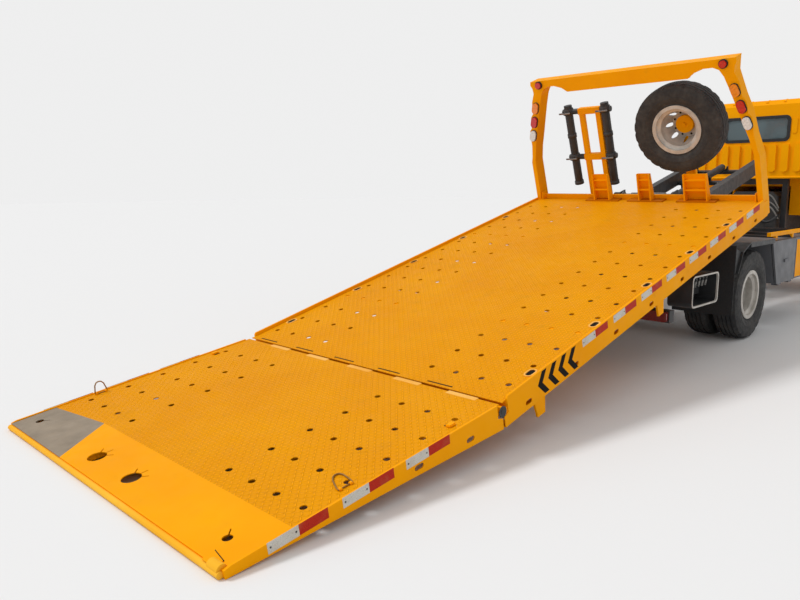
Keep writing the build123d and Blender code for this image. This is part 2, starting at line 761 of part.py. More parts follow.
def cab_volume(inset):
    """The cab's outer form, shrunk by an even distance."""
    side = (
        (cab_rear_x, cab_rear_low_z),
        (cab_rear_x + cab_step_x, cab_rear_low_z),
        (cab_rear_x + cab_step_x, cab_floor_z),
        (arch_front, cab_floor_z),
        (arch_front + 60, cab_front_low_z),
        (cab_rear_x + cab_length, cab_front_low_z),
        (cab_rear_x + cab_length, 1430),
        (cab_rear_x + cab_length - 28, belt_z),
        (cab_rear_x + cab_length - 330, cab_roof_z - 40),
        (cab_rear_x + cab_length - 460, cab_roof_z),
        (cab_rear_x + 60, cab_roof_z),
        (cab_rear_x + 10, cab_roof_z - 60),
    )
    front = (
        (-cab_half_width, 700),
        (cab_half_width, 700),
        (cab_half_width, belt_z),
        (cab_half_width - 75, cab_roof_z - 70),
        (cab_half_width - 160, cab_roof_z - 8),
        (0, cab_roof_z + 14),
        (-cab_half_width + 160, cab_roof_z - 8),
        (-cab_half_width + 75, cab_roof_z - 70),
        (-cab_half_width, belt_z),
    )
    with BuildPart() as volume:
        with BuildSketch(Plane.XZ.offset(-cab_half_width)) as side_view:
            with BuildLine():
                Polyline(*side, close=True)
            make_face()
            if inset:
                offset(amount=-inset)
        extrude(side_view.sketch, amount=2 * cab_half_width)
        with BuildSketch(Plane.YZ.offset(cab_rear_x - 10)) as front_view:
            with BuildLine():
                Polyline(*front, close=True)
            make_face()
            if inset:
                offset(amount=-inset)
        extrude(front_view.sketch, amount=cab_length + 20, mode=Mode.INTERSECT)
    return volume.part


# Door outlines in x and z, seen from the side
door_rear_x = front_axle_x - 330.0
door_front_x = arch_front + 330.0
door_outline = (
    (door_rear_x, cab_floor_z + 60),
    (door_front_x, cab_floor_z + 60),
    (door_front_x, belt_z + 20),
    (door_front_x - 235, cab_roof_z - 110),
    (door_rear_x, cab_roof_z - 110),
)
door_window = (
    (door_rear_x + 70, belt_z + 40),
    (door_front_x - 90, belt_z + 40),
    (door_front_x - 90, belt_z + 80),
    (door_front_x - 270, cab_roof_z - 190),
    (door_rear_x + 70, cab_roof_z - 190),
)
door_hinge_x = door_front_x - 3.0
door_hinge_half = cab_half_width + 9.0
door_hinge_zs = (1180.0, 1480.0)
rear_window_half = 370.0
rear_window_z = (1935.0, 2205.0)
windscreen_half = cab_half_width - 130.0
windscreen_z = (belt_z + 60.0, cab_roof_z - 100.0)
tunnel_half = 370.0
tunnel_top_z = 1390.0
tunnel_front_x = engine_front_x + 70.0
tunnel_rear_x = cab_rear_x + cab_step_x

outer_volume = cab_volume(0)
inner_volume = cab_volume(cab_wall)
glass_outer = cab_volume(glass_inset)
glass_inner = cab_volume(glass_inset + glass_thickness)
front_zone_x = (cab_rear_x + cab_length - 520.0, bumper_x)
rear_zone_x = (cab_rear_x - 50.0, cab_rear_x + 50.0)


def rectangle(half_y, z):
    """A rectangle in y and z, even about the middle."""
    return ((-half_y, z[0]), (half_y, z[0]), (half_y, z[1]), (-half_y, z[1]))


with BuildPart() as cab_shell:
    add(outer_volume)
    add(inner_volume, mode=Mode.SUBTRACT)
    block((tunnel_rear_x, tunnel_front_x), (-tunnel_half, tunnel_half), (cab_floor_z, tunnel_top_z))
    for door_y in (
        (cab_half_width - 140, cab_half_width + 10),
        (-cab_half_width - 10, -cab_half_width + 140),
    ):
        side_prism(door_outline, door_y, mode=Mode.SUBTRACT)
    front_prism(rectangle(rear_window_half, rear_window_z), rear_zone_x, mode=Mode.SUBTRACT)
    front_prism(rectangle(windscreen_half, windscreen_z), front_zone_x, mode=Mode.SUBTRACT)
    block(
        (tunnel_rear_x - 10, tunnel_front_x - 25),
        (-tunnel_half + 25, tunnel_half - 25),
        (cab_floor_z - 100, tunnel_top_z - 25),
        mode=Mode.SUBTRACT,
    )
    rib_pitch = 143.0
    rib_width = 80.0
    rib_depth = 20.0
    for rib in range(12):
        rib_y = (rib - 5.5) * rib_pitch
        rib_span = (rib_y - rib_width / 2, rib_y + rib_width / 2)
        block((cab_rear_x - rib_depth, cab_rear_x + 3), rib_span, (1600, 1875))
    for side in (-1, 1):
        hinge_y = side * door_hinge_half
        for hinge_height in door_hinge_zs:
            leaf_y = sorted((side * (cab_half_width - 1), side * (cab_half_width + 6)))
            rod((door_hinge_x, hinge_y, hinge_height - 46), (door_hinge_x, hinge_y, hinge_height + 46), 4)
            for low_z, high_z in (
                (hinge_height - 46, hinge_height - 20.5),
                (hinge_height + 20.5, hinge_height + 46),
            ):
                rod((door_hinge_x, hinge_y, low_z), (door_hinge_x, hinge_y, high_z), 9)
                block((door_hinge_x, door_hinge_x + 48), leaf_y, (low_z, high_z))
keep("cab_shell", cab_shell.part)

pane_gap = 0.3
with BuildPart() as cab_glass:
    add(glass_outer)
    add(glass_inner, mode=Mode.SUBTRACT)
    front_prism(
        rectangle(windscreen_half - pane_gap, (windscreen_z[0] + pane_gap, windscreen_z[1] - pane_gap)),
        front_zone_x,
        mode=Mode.INTERSECT,
    )
    block(
        (cab_rear_x + glass_inset, cab_rear_x + glass_inset + glass_thickness),
        (-rear_window_half + pane_gap, rear_window_half - pane_gap),
        (rear_window_z[0] + pane_gap, rear_window_z[1] - pane_gap),
    )
keep("cab_glass", cab_glass.part)

door_zone_y = (cab_half_width - 140, cab_half_width + 10)
with BuildPart() as door_left:
    add(outer_volume)
    add(inner_volume, mode=Mode.SUBTRACT)
    with BuildSketch(Plane.XZ.offset(-door_zone_y[1])) as door_face:
        with BuildLine():
            Polyline(*door_outline, close=True)
        make_face()
        offset(amount=-door_gap)
    extrude(door_face.sketch, amount=door_zone_y[1] - door_zone_y[0], mode=Mode.INTERSECT)
    side_prism(door_window, door_zone_y, mode=Mode.SUBTRACT)
    for hinge_height in door_hinge_zs:
        low, high = hinge_height - 20, hinge_height + 20
        rod((door_hinge_x, door_hinge_half, low), (door_hinge_x, door_hinge_half, high), 9)
        block((door_hinge_x - 48, door_hinge_x), (cab_half_width - 1, cab_half_width + 6), (low, high))
        rod(
            (door_hinge_x, door_hinge_half, low),
            (door_hinge_x, door_hinge_half, high),
            4.5,
            mode=Mode.SUBTRACT,
        )
keep("door_left", door_left.part)
keep("door_right", mirror(door_left.part, about=Plane.XZ))

with BuildPart() as door_glass_left:
    add(glass_outer)
    add(glass_inner, mode=Mode.SUBTRACT)
    with BuildSketch(Plane.XZ.offset(-door_zone_y[1])) as pane_face:
        with BuildLine():
            Polyline(*door_window, close=True)
        make_face()
        offset(amount=-pane_gap)
    extrude(pane_face.sketch, amount=door_zone_y[1] - door_zone_y[0], mode=Mode.INTERSECT)
keep("door_glass_left", door_glass_left.part)
keep("door_glass_right", mirror(door_glass_left.part, about=Plane.XZ))

# Grille band, bumper with its recesses, and corner headlamps
nose_x = cab_rear_x + cab_length
grille_bars = 5
with BuildPart() as grille:
    block((nose_x + 0.3, nose_x + 14), (-620, 620), (1150, 1420))
    for bar in range(grille_bars):
        bar_z = 1172 + bar * 52
        block((nose_x + 10, nose_x + 26), (-600, 600), (bar_z, bar_z + 22))
keep("grille", grille.part)

tow_eye_setback = 112.0
tow_eye_y = -270.0
tow_eye_z = 450.0
tow_eye_depth = 32.0
tow_eye_radius = 18.0
with BuildPart() as bumper:
    block((bumper_x - 230, bumper_x), (-1090, 1090), (480, 830))
    chamfer(bumper.edges().filter_by(Axis.Z).group_by(Axis.X)[-1], 110)
    for lamp_y in (-1, 1):
        recess = sorted((lamp_y * 330, lamp_y * 700))
        block((bumper_x - 30, bumper_x + 5), recess, (600, 740), mode=Mode.SUBTRACT)
    block((bumper_x - 300, bumper_x - 60), (-1040, 1040), (470, 790), mode=Mode.SUBTRACT)
    for arm_y in (-340, 340):
        arm_z = (rail_bottom_z + 10, rail_top_z - 10)
        block((chassis_front_x + 0.3, bumper_x - 50), (arm_y - 28, arm_y + 28), arm_z)
    tow_x = bumper_x - tow_eye_setback
    block(
        (tow_x - 45, bumper_x - 30),
        (tow_eye_y - 45, tow_eye_y + 45),
        (tow_eye_z, tow_eye_z + tow_eye_depth),
    )
    rod((tow_x, tow_eye_y, 400), (tow_x, tow_eye_y, 600), tow_eye_radius, mode=Mode.SUBTRACT)
keep("bumper", bumper.part)

with BuildPart() as headlamps:
    with BuildSketch(Plane.YZ.offset(nose_x + 0.3)):
        with Locations((830, 1010), (640, 1010)):
            Circle(88)
    extrude(amount=34)
    fillet(headlamps.edges().group_by(Axis.X)[-1], 12)
    mirror(about=Plane.XZ)
keep("headlamps", headlamps.part)

# Mirrors on their arms
mirror_x = door_front_x - 120.0
with BuildPart() as mirrors:
    arm_y = cab_half_width + 190.0
    foot = ((984.5, 1940), (996.5, 1940), (987.0, 2040), (975.0, 2040))
    front_prism(foot, (mirror_x + 35, mirror_x + 85))
    rod((mirror_x + 60, cab_half_width - 35, 1990), (mirror_x + 190, arm_y, 2010), 11)
    rod((mirror_x + 190, arm_y, 2030), (mirror_x + 190, arm_y, 1620), 11)
    block((mirror_x + 165, mirror_x + 215), (arm_y - 85, arm_y + 85), (1660, 1960))
    mirror(about=Plane.XZ)
keep("mirrors", mirrors.part)

# Seats, dashboard and steering wheel
seat_z = 1340.0
seat_x = cab_rear_x + 640.0
with BuildPart() as seats:
    for seat_y in (-650, 650):
        block((seat_x, seat_x + 480), (seat_y - 225, seat_y + 225), (seat_z, seat_z + 130))
        block((seat_x - 90, seat_x + 40), (seat_y - 225, seat_y + 225), (seat_z + 60, seat_z + 700))
        block(
            (seat_x + 40, seat_x + 420),
            (seat_y - 180, seat_y + 180),
            (cab_floor_z + cab_wall + 0.3, seat_z),
        )
keep("seats", seats.part)

dash_x = nose_x - 330.0
wheel_y = 650.0
with BuildPart() as dashboard:
    side_prism(
        (
            (dash_x, 1330),
            (nose_x - cab_wall - 0.3, 1330),
            (nose_x - cab_wall - 0.3, 1400),
            (nose_x - 100, 1560),
            (dash_x + 80, 1600),
            (dash_x, 1520),
        ),
        (-cab_half_width + 70, cab_half_width - 70),
    )
    column_low = Vector(dash_x + 10, wheel_y, 1440)
    column_high = Vector(dash_x - 190, wheel_y, 1600)
    rod(tuple(column_low), tuple(column_high), 22)
    wheel_plane = Plane(origin=column_high, z_dir=column_high - column_low)
    with BuildSketch(wheel_plane) as spokes:
        Circle(60)
        Rectangle(400, 40)
        Rectangle(40, 400)
    extrude(spokes.sketch, amount=15, both=True)
    with Locations(wheel_plane.location):
        Torus(210, 15)
keep("dashboard", dashboard.part)

# Tilt frame, drawn in u (along its rails), v (to the left) and w (square to the rails)
frame_cross_low = tilt_rail_low
frame_cross_high = tilt_rail_low + 35.0
barrel_w = 100.0
barrel_radius = 38.0
barrel_bore = 30.0
barrel_rear_u = 230.0
barrel_front_u = tilt_frame_reach - 90.0
lift_eye_u = 2400.0
lift_eye_w = 32.0
lift_eye_radius = 30.0
lift_lug_gap = 34.0
lift_lug_wall = 10.0
rail_half = tilt_rail_width / 2
frame_cross_us = (900.0, 1700.0, lift_eye_u + 100.0, tilt_frame_reach - 45.0)
with BuildPart() as tilt_frame:
    with BuildSketch(Plane.YZ.offset(-tilt_rail_rear)):
        with Locations((tilt_rail_y, tilt_rail_low + tilt_rail_depth / 2)):
            Rectangle(tilt_rail_width, tilt_rail_depth)
            Rectangle(tilt_rail_width - 2 * plate_wall, tilt_rail_depth - 2 * plate_wall, mode=Mode.SUBTRACT)
    extrude(amount=tilt_frame_reach + tilt_rail_rear)
    sleeve_y = (tilt_rail_y - rail_half, tilt_rail_y + rail_half)
    rod((0, sleeve_y[0], 0), (0, sleeve_y[1], 0), sleeve_radius)
    block((-sleeve_radius, sleeve_radius), sleeve_y, (0, tilt_rail_low + 2))
    rod((0, sleeve_y[0] - 1, 0), (0, sleeve_y[1] + 1, 0), pin_radius + 1, mode=Mode.SUBTRACT)
    for lug_y in (lift_y - lift_lug_gap - lift_lug_wall, lift_y + lift_lug_gap):
        side_prism(
            (
                (lift_eye_u - 35, lift_eye_w - 40),
                (lift_eye_u + 45, lift_eye_w - 40),
                (lift_eye_u + 75, frame_cross_low),
                (lift_eye_u + 75, frame_cross_high),
                (lift_eye_u - 35, frame_cross_high + 20),
            ),
            (lug_y, lug_y + lift_lug_wall),
        )
    mirror(about=Plane.XZ)
    for cross_u in frame_cross_us:
        cross_v = (-tilt_rail_y + rail_half, tilt_rail_y - rail_half)
        block((cross_u - 35, cross_u + 35), cross_v, (frame_cross_low, frame_cross_high))
        block(
            (cross_u - 15, cross_u + 15),
            (-barrel_radius - 12, barrel_radius + 12),
            (frame_cross_high, barrel_w),
        )
    rod((barrel_rear_u, 0, barrel_w), (barrel_front_u + 200, 0, barrel_w), barrel_radius, mode=Mode.SUBTRACT)
    block(
        (105, 155),
        (-tilt_rail_y + rail_half, tilt_rail_y - rail_half),
        (frame_cross_low, frame_cross_high),
    )
keep("tilt_frame", tilt_frame.part, tilt_plane)

with BuildPart() as slide_cylinder:
    rod((barrel_rear_u, 0, barrel_w), (barrel_front_u, 0, barrel_w), barrel_radius, barrel_bore)
    rod((barrel_rear_u, 0, barrel_w), (barrel_rear_u + 25, 0, barrel_w), barrel_radius - 1, 21)
    rod((barrel_front_u - 20, 0, barrel_w), (barrel_front_u, 0, barrel_w), barrel_radius - 1)
keep("slide_cylinder", slide_cylinder.part, tilt_plane)

rod_lug_u = -2450.0
slide_rod_length = 2750.0
slide_rod_radius = 20.0
rod_bracket_v = 31.0
with BuildPart() as slide_rod:
    rod((rod_lug_u, 0, barrel_w), (rod_lug_u + slide_rod_length, 0, barrel_w), slide_rod_radius)
    rod_end_u = rod_lug_u + slide_rod_length
    rod((rod_end_u - 30, 0, barrel_w), (rod_end_u, 0, barrel_w), barrel_bore - 0.5)
    rod((rod_lug_u, -rod_bracket_v + 0.3, barrel_w), (rod_lug_u, rod_bracket_v - 0.3, barrel_w), 34)
keep("slide_rod", slide_rod.part, tilt_plane)

# Lift cylinders: barrels on a shaft across the chassis rails, rods on stub pins between the frame's lugs
lift_barrel_radius = 45.0
lift_barrel_bore = 37.0
lift_rod_radius = 24.0
lift_barrel_length = 1040.0
eye = (tilt_plane.location * Location((lift_eye_u, 0, lift_eye_w))).position
lift_length = hypot(eye.X - lift_base_x, eye.Z - lift_base_z)
lift_angle = atan2(eye.Z - lift_base_z, eye.X - lift_base_x)
lift_plane = Plane(
    origin=(lift_base_x, 0, lift_base_z),
    x_dir=(cos(lift_angle), 0, sin(lift_angle)),
    z_dir=(-sin(lift_angle), 0, cos(lift_angle)),
)
with BuildPart() as lift_barrels:
    for side in (-1, 1):
        rod(
            (70, side * lift_y, 0),
            (lift_barrel_length, side * lift_y, 0),
            lift_barrel_radius,
            lift_barrel_bore,
        )
        rod((70, side * lift_y, 0), (90, side * lift_y, 0), lift_barrel_radius - 2)
        rod((25, side * lift_y, 0), (72, side * lift_y, 0), 26)
        gland = (lift_barrel_length - 30, side * lift_y, 0)
        rod(gland, (lift_barrel_length, side * lift_y, 0), lift_barrel_radius - 1, lift_rod_radius + 1)
        rod((0, side * lift_y - 30, 0), (0, side * lift_y + 30, 0), 38)
    rod((0, -lift_y - 70, 0), (0, lift_y + 70, 0), 18)
keep("lift_barrels", lift_barrels.part, lift_plane)

with BuildPart() as lift_rods:
    for side in (-1, 1):
        rod((lift_barrel_length - 150, side * lift_y, 0), (lift_length, side * lift_y, 0), lift_rod_radius)
        rod((lift_barrel_length - 170, side * lift_y, 0), (lift_barrel_length - 145, side * lift_y, 0),
            lift_barrel_bore - 0.5)
        rod((lift_length, side * lift_y - 27, 0), (lift_length, side * lift_y + 27, 0), lift_eye_radius)
keep("lift_rods", lift_rods.part, lift_plane)

# Deck frame, with its side rails, runners, cross members and the fixed half of the tail hinge
deck_rear_u = hinge_u + hinge_gap
rail_low_w = deck_top_w - side_rail_depth
rail_high_w = deck_top_w + lip_height
runner_low_w = tilt_rail_top + 5.0
floor_low_w = deck_top_w - floor_thickness
cross_low_w = floor_low_w - cross_depth
rail_inner_v = half_deck - side_rail_width
lip_wall = 12.0
joint_gap = 0.3
knuckle_count = 12
knuckle_gap = 6.0
knuckle_pitch = (deck_width - 8.0) / knuckle_count
slot_size = (60.0, 26.0)
slot_drop = 100.0
slot_pitch = 485.0
tail_slots = (
    # x, height above the hinge axis
    (-272.0, -38.0),
    (-642.0, -16.0),
)
lug_us = (350.0, 1850.0)
head_foot_depth = 85.0


def knuckle_span(index):
    """The v range of one hinge knuckle across the deck."""
    start = -half_deck + 4.0 + index * knuckle_pitch
    return (start + knuckle_gap / 2, start + knuckle_pitch - knuckle_gap / 2)


with BuildPart() as deck_rails:
    rail_end = (
        (hinge_u + hinge_gap, rail_high_w - 12),
        (hinge_u + hinge_gap + 12, rail_high_w),
        (deck_front_u, rail_high_w),
        (deck_front_u, rail_low_w),
        (hinge_u + 5, rail_low_w),
        (hinge_u + 5, hinge_w - hinge_radius - 8),
        (hinge_u + hinge_gap, hinge_w - hinge_radius + 5),
    )
    side_prism(rail_end, (rail_inner_v, half_deck))
    block(
        (hinge_u - 10, deck_front_u + 10),
        (rail_inner_v - 1, half_deck - plate_wall),
        (rail_low_w + plate_wall, floor_low_w),
        mode=Mode.SUBTRACT,
    )
    block(
        (hinge_u - 10, deck_front_u + 10),
        (rail_inner_v - 1, half_deck - lip_wall),
        (floor_low_w, rail_high_w + 1),
        mode=Mode.SUBTRACT,
    )
    with BuildSketch(Plane.XZ.offset(-half_deck - 1)) as slots:
        for slot in range(8):
            with Locations((deck_rear_u + 180 + slot * slot_pitch, deck_top_w - slot_drop)):
                SlotOverall(*slot_size)
    extrude(slots.sketch, amount=plate_wall + 2, mode=Mode.SUBTRACT)
    for lug_from_seam in lug_us:
        lug_u = hinge_u + lug_from_seam
        side_prism(
            (
                (lug_u - 55, rail_low_w + 1),
                (lug_u + 55, rail_low_w + 1),
                (lug_u + 35, rail_low_w - 110),
                (lug_u - 35, rail_low_w - 110),
            ),
            (half_deck - 34, half_deck - 20),
        )
    block(
        (deck_front_u - head_foot_depth, deck_front_u + 10),
        (rail_inner_v - 1, half_deck + 1),
        (deck_top_w, rail_high_w + 1),
        mode=Mode.SUBTRACT,
    )
    mirror(about=Plane.XZ)
keep("deck_rails", deck_rails.part, tilt_plane)

frame_half_v = half_deck - plate_wall - joint_gap
with BuildPart() as deck_frame:
    block((deck_rear_u, deck_front_u), (320, 380), (runner_low_w, floor_low_w))
    side_prism(
        (
            (rod_lug_u - 45, barrel_w - 30),
            (rod_lug_u + 25, barrel_w - 30),
            (rod_lug_u + 60, cross_low_w + 1),
            (rod_lug_u - 60, cross_low_w + 1),
        ),
        (rod_bracket_v, rod_bracket_v + 10),
    )
    mirror(about=Plane.XZ)
    cross_pitch = (deck_front_u - deck_rear_u - 60) / 9
    for cross in range(10):
        cross_u = deck_rear_u + 30 + cross * cross_pitch
        block((cross_u - 30, cross_u + 30), (-frame_half_v, frame_half_v), (cross_low_w, floor_low_w))
    block((rod_lug_u - 60, rod_lug_u + 60), (-330, 330), (cross_low_w, floor_low_w))
    sill_v = half_deck - lip_wall - joint_gap
    block((deck_front_u - sill_depth, deck_front_u), (-sill_v, sill_v), (floor_low_w - 1, deck_top_w))
    for index in range(0, knuckle_count, 2):
        low_v, high_v = knuckle_span(index)
        rod((hinge_u, low_v, hinge_w), (hinge_u, high_v, hinge_w), hinge_radius)
        block((hinge_u, deck_rear_u + 5), (low_v, high_v), (hinge_w - hinge_radius, hinge_w + 8))
    rod((hinge_u, -half_deck + 1, hinge_w), (hinge_u, half_deck - 1, hinge_w), hinge_pin_radius)
keep("deck_frame", deck_frame.part, tilt_plane)

with BuildPart() as deck_floor:
    floor_u = (hinge_u + floor_gap, deck_front_u - sill_depth - joint_gap)
    floor_v = half_deck - lip_wall - joint_gap
    block(floor_u, (-floor_v, floor_v), (floor_low_w, deck_top_w))
keep("deck_floor", deck_floor.part, tilt_plane)

# Tail section, in its own lengths from the hinge pin
tail_plate_x = -hinge_gap
tail_tip_x = -tip_x
tail_floor_low = hinge_drop - floor_thickness
tail_rail_low = hinge_drop - side_rail_depth
with BuildPart() as tail_frame:
    tail_outline = (
        (tail_plate_x, hinge_drop + 6),
        (tail_tip_x + 30, hinge_drop + 6),
        (tail_tip_x, hinge_drop),
        (tail_tip_x, tip_w),
        (-5, tail_rail_low),
        (-5, -hinge_radius - 8),
        (tail_plate_x, -hinge_radius + 5),
    )
    side_prism(tail_outline, (rail_inner_v, half_deck))
    block(
        (tail_tip_x + 420, 0),
        (rail_inner_v - 1, half_deck - plate_wall),
        (tail_rail_low - 10, tail_floor_low),
        mode=Mode.SUBTRACT,
    )
    block(
        (tail_tip_x - 10, 10),
        (rail_inner_v - 1, half_deck - lip_wall),
        (tail_floor_low, hinge_drop + 20),
        mode=Mode.SUBTRACT,
    )
    with BuildSketch(Plane.XZ.offset(-half_deck - 1)) as tail_slot_outline:
        with Locations(*tail_slots):
            SlotOverall(*slot_size)
    extrude(tail_slot_outline.sketch, amount=plate_wall + 2, mode=Mode.SUBTRACT)
    mirror(about=Plane.XZ)
    rib_outline = (
        (tail_plate_x, tail_floor_low),
        (tail_tip_x, tail_floor_low),
        (tail_tip_x, tip_w),
        (-8, tail_rail_low + 10),
        (-8, -hinge_radius - 8),
        (tail_plate_x, -hinge_radius + 5),
    )
    for rib_v in (-900, -600, -300, 0, 300, 600, 900):
        side_prism(rib_outline, (rib_v - 6, rib_v + 6))
    block((tail_tip_x, tail_tip_x + 60), (-rail_inner_v, rail_inner_v), (tip_w + 5, tail_floor_low))
    block((tail_plate_x - 50, tail_plate_x), (-rail_inner_v, rail_inner_v), (-hinge_radius, tail_floor_low))
    block((-800, -760), (-rail_inner_v, rail_inner_v), (-10, tail_floor_low))
    for index in range(1, knuckle_count, 2):
        low_v, high_v = knuckle_span(index)
        rod((0, low_v, 0), (0, high_v, 0), hinge_radius)
        block((tail_plate_x - 5, 0), (low_v, high_v), (-hinge_radius, 8))
    rod((0, -half_deck, 0), (0, half_deck, 0), hinge_pin_radius + 0.6, mode=Mode.SUBTRACT)
    tip_bar_x = tail_tip_x - 10.0
    rod((tip_bar_x, -half_deck + 15, bar_w), (tip_bar_x, half_deck - 15, bar_w), tail_bar_radius)
keep("tail_frame", tail_frame.part, tail_plane)

with BuildPart() as tail_floor:
    block((tail_tip_x, -floor_gap), (-floor_v, floor_v), (tail_floor_low, hinge_drop))
    with BuildSketch(Plane.XY.offset(hinge_drop)):
        with Locations((tail_tip_x + 120, 225), (tail_tip_x + 122, -155)):
            SlotOverall(110, 62, rotation=90)
        with Locations((tail_tip_x + 125, -976)):
            SlotOverall(60, 34, rotation=90)
    extrude(amount=-floor_thickness, mode=Mode.SUBTRACT)
keep("tail_floor", tail_floor.part, tail_plane)

# Headboard portal, in depth (x), v and height (z) from the deck's front edge. Its rear flange has a wavy
# outer edge that stands proud of the side webs behind each lamp
head_plate = 8.0
head_web_front = 60.0
beam_half = 586.0
beam_low = head_height - 132.0
post_foot_outer = half_deck - 6.0
post_foot_inner = half_deck - 51.0


def hung(points):
    """Points of the headboard, each given by its v and its drop from the top edge."""
    return tuple((v, head_height - drop) for v, drop in points)


flange_outer_foot = (
    # v, height
    (post_foot_outer, 0),
    (1136, 300),
    (1133, 420),
    (1116, 480),
)
flange_outer_top = (
    # v, drop from the top edge
    (1095, 650),
    (1093, 538),
    (1088, 495),
    (1064, 467),
    (1058, 435),
    (1056, 390),
    (1048, 355),
    (1019, 320),
    (1014, 290),
    (1013, 250),
    (1004, 200),
    (970, 120),
    (973, 70),
    (992, 35),
    (985, 0),
)
flange_inner_top = (
    # v, drop from the top edge
    (645, 90),
    (725, 64),
    (800, 64),
    (850, 88),
    (885, 145),
    (927, 265),
    (967, 395),
    (1011, 540),
    (1056, 680),
    (1088, 820),
)
web_outer_top = (
    # v, drop from the top edge
    (1090, 660),
    (1060, 465),
    (1015, 320),
    (968, 120),
    (983, 0),
)
flange_outer_edge = flange_outer_foot + hung(flange_outer_top)
flange_inner_edge = ((0, beam_low), (beam_half, beam_low)) + hung(flange_inner_top) + ((post_foot_inner, 0),)
web_outer_edge = ((post_foot_outer, 0), (1133, 410)) + hung(web_outer_top)
web_inner_edge = tuple((v - head_plate, height) for v, height in reversed(web_outer_edge))
post_inner_edge = flange_inner_edge[3:]
post_inner_face = tuple((v + head_plate, height + 6) for v, height in reversed(post_inner_edge[:-1]))
post_inner_foot = (post_foot_inner + head_plate, 0)
seat_gap = 0.3
foot_wedge = (
    (-150, -40),
    (20, -40),
    (20, seat_gap - 20 * tan(head_lean)),
    (-150, seat_gap + 150 * tan(head_lean)),
)
head_foot_low = -side_rail_depth
head_foot_width = post_foot_outer - guard_outer_y - 10.0
with BuildPart() as headboard:
    front_prism(
        flange_outer_edge + ((0, head_height),) + flange_inner_edge,
        (-head_depth, -head_depth + head_plate),
    )
    front_prism(web_outer_edge + web_inner_edge, (-head_depth, head_web_front))
    front_prism(post_inner_edge + (post_inner_foot,) + post_inner_face, (-head_depth, head_web_front))
    block((-head_depth, head_web_front), (0, 984), (head_height - head_plate, head_height))
    block((-head_depth, -20), (0, beam_half), (beam_low, beam_low + head_plate))
    block((-24, 0), (0, post_foot_inner + 40), (0, 45))
    side_prism(foot_wedge, (-10, half_deck + 10), mode=Mode.SUBTRACT)
    side_prism(
        (
            (head_foot_low * tan(head_lean) + seat_gap, head_foot_low),
            (head_web_front, head_foot_low),
            (head_web_front, 20),
            (20 * tan(head_lean) + seat_gap, 20),
        ),
        (post_foot_outer - head_plate, post_foot_outer),
    )
    side_prism(
        (
            (head_foot_low * tan(head_lean) + seat_gap, head_foot_low),
            (head_foot_low * tan(head_lean) + 12, head_foot_low),
            (20 * tan(head_lean) + 12, 20),
            (20 * tan(head_lean) + seat_gap, 20),
        ),
        (post_foot_outer - head_foot_width, post_foot_outer),
    )
    mirror(about=Plane.XZ)
keep("headboard", headboard.part, head_plane)

lamp_places = (
    # v, drop from the top edge
    (970.0, 263.0),
    (1012.0, 403.0),
    (1052.0, 542.0),
)
with BuildPart() as headboard_lamps:
    for lamp_v, lamp_h in hung(lamp_places):
        with BuildSketch(Plane.YZ.offset(-head_depth - seat_gap)) as lens:
            with Locations(Location((lamp_v, lamp_h), 108)):
                SlotOverall(112, 66)
        extrude(lens.sketch, amount=-26)
    with BuildSketch(Plane.YZ.offset(-head_depth - seat_gap)) as corner_lens:
        with Locations((890, head_height - 40)):
            Circle(36)
    extrude(corner_lens.sketch, amount=-30)
    mirror(about=Plane.XZ)
keep("headboard_lamps", headboard_lamps.part, head_plane)

# Brackets along the front edge: foot plate, two cheeks, a back plate and two cross plates
bracket_table = (
    # v of the middle, width, height
    (365.0, 172.0, 270.0),
    (-88.0, 128.0, 270.0),
    (-575.0, 215.0, 260.0),
)
bracket_foot = 12.0
bracket_foot_half = 178.0
with BuildPart() as front_brackets:
    for middle_v, width, height in bracket_table:
        low_v, high_v = middle_v - width / 2, middle_v + width / 2
        block(
            (-125, -30),
            (middle_v - bracket_foot_half, middle_v + bracket_foot_half),
            (seat_gap, bracket_foot),
        )
        cheek_outline = ((-115, bracket_foot), (-32, bracket_foot), (-90, height), (-125, height))
        back_outline = ((-42, bracket_foot), (-32, bracket_foot), (-90, height), (-100, height))
        for cheek_v in (low_v, high_v - 12):
            side_prism(cheek_outline, (cheek_v, cheek_v + 12))
        side_prism(back_outline, (low_v, high_v))
        for plate_z, plate_front in ((height * 0.4, -60), (height * 0.75, -80)):
            block((-112, plate_front), (low_v, high_v), (plate_z, plate_z + 14))
keep("front_brackets", front_brackets.part, front_plane)

# Carriers on the deck's front face: the spare wheel's post and a ladder stand
stand_x = 150.0
stand_v = 510.0
stand_half = 115.0
stand_height = 895.0
stand_mid_z = 395.0
stand_bar = 60.0
stand_tube = 50.0
carrier_half = 45.0
carrier_z = (-70.0, -20.0)
spare_x = 62.0
spare_face_x = spare_x + dual_spacing / 2
post_depth = 40.0
clamp_radius = 80.0


def front_arm(reach, v):
    """An arm square to the headboard's lean, its foot face on the deck's front face."""
    side_prism(
        (
            (carrier_z[0] * tan(head_lean) + seat_gap, carrier_z[0]),
            (reach, carrier_z[0]),
            (reach, carrier_z[1]),
            (carrier_z[1] * tan(head_lean) + seat_gap, carrier_z[1]),
        ),
        v,
    )


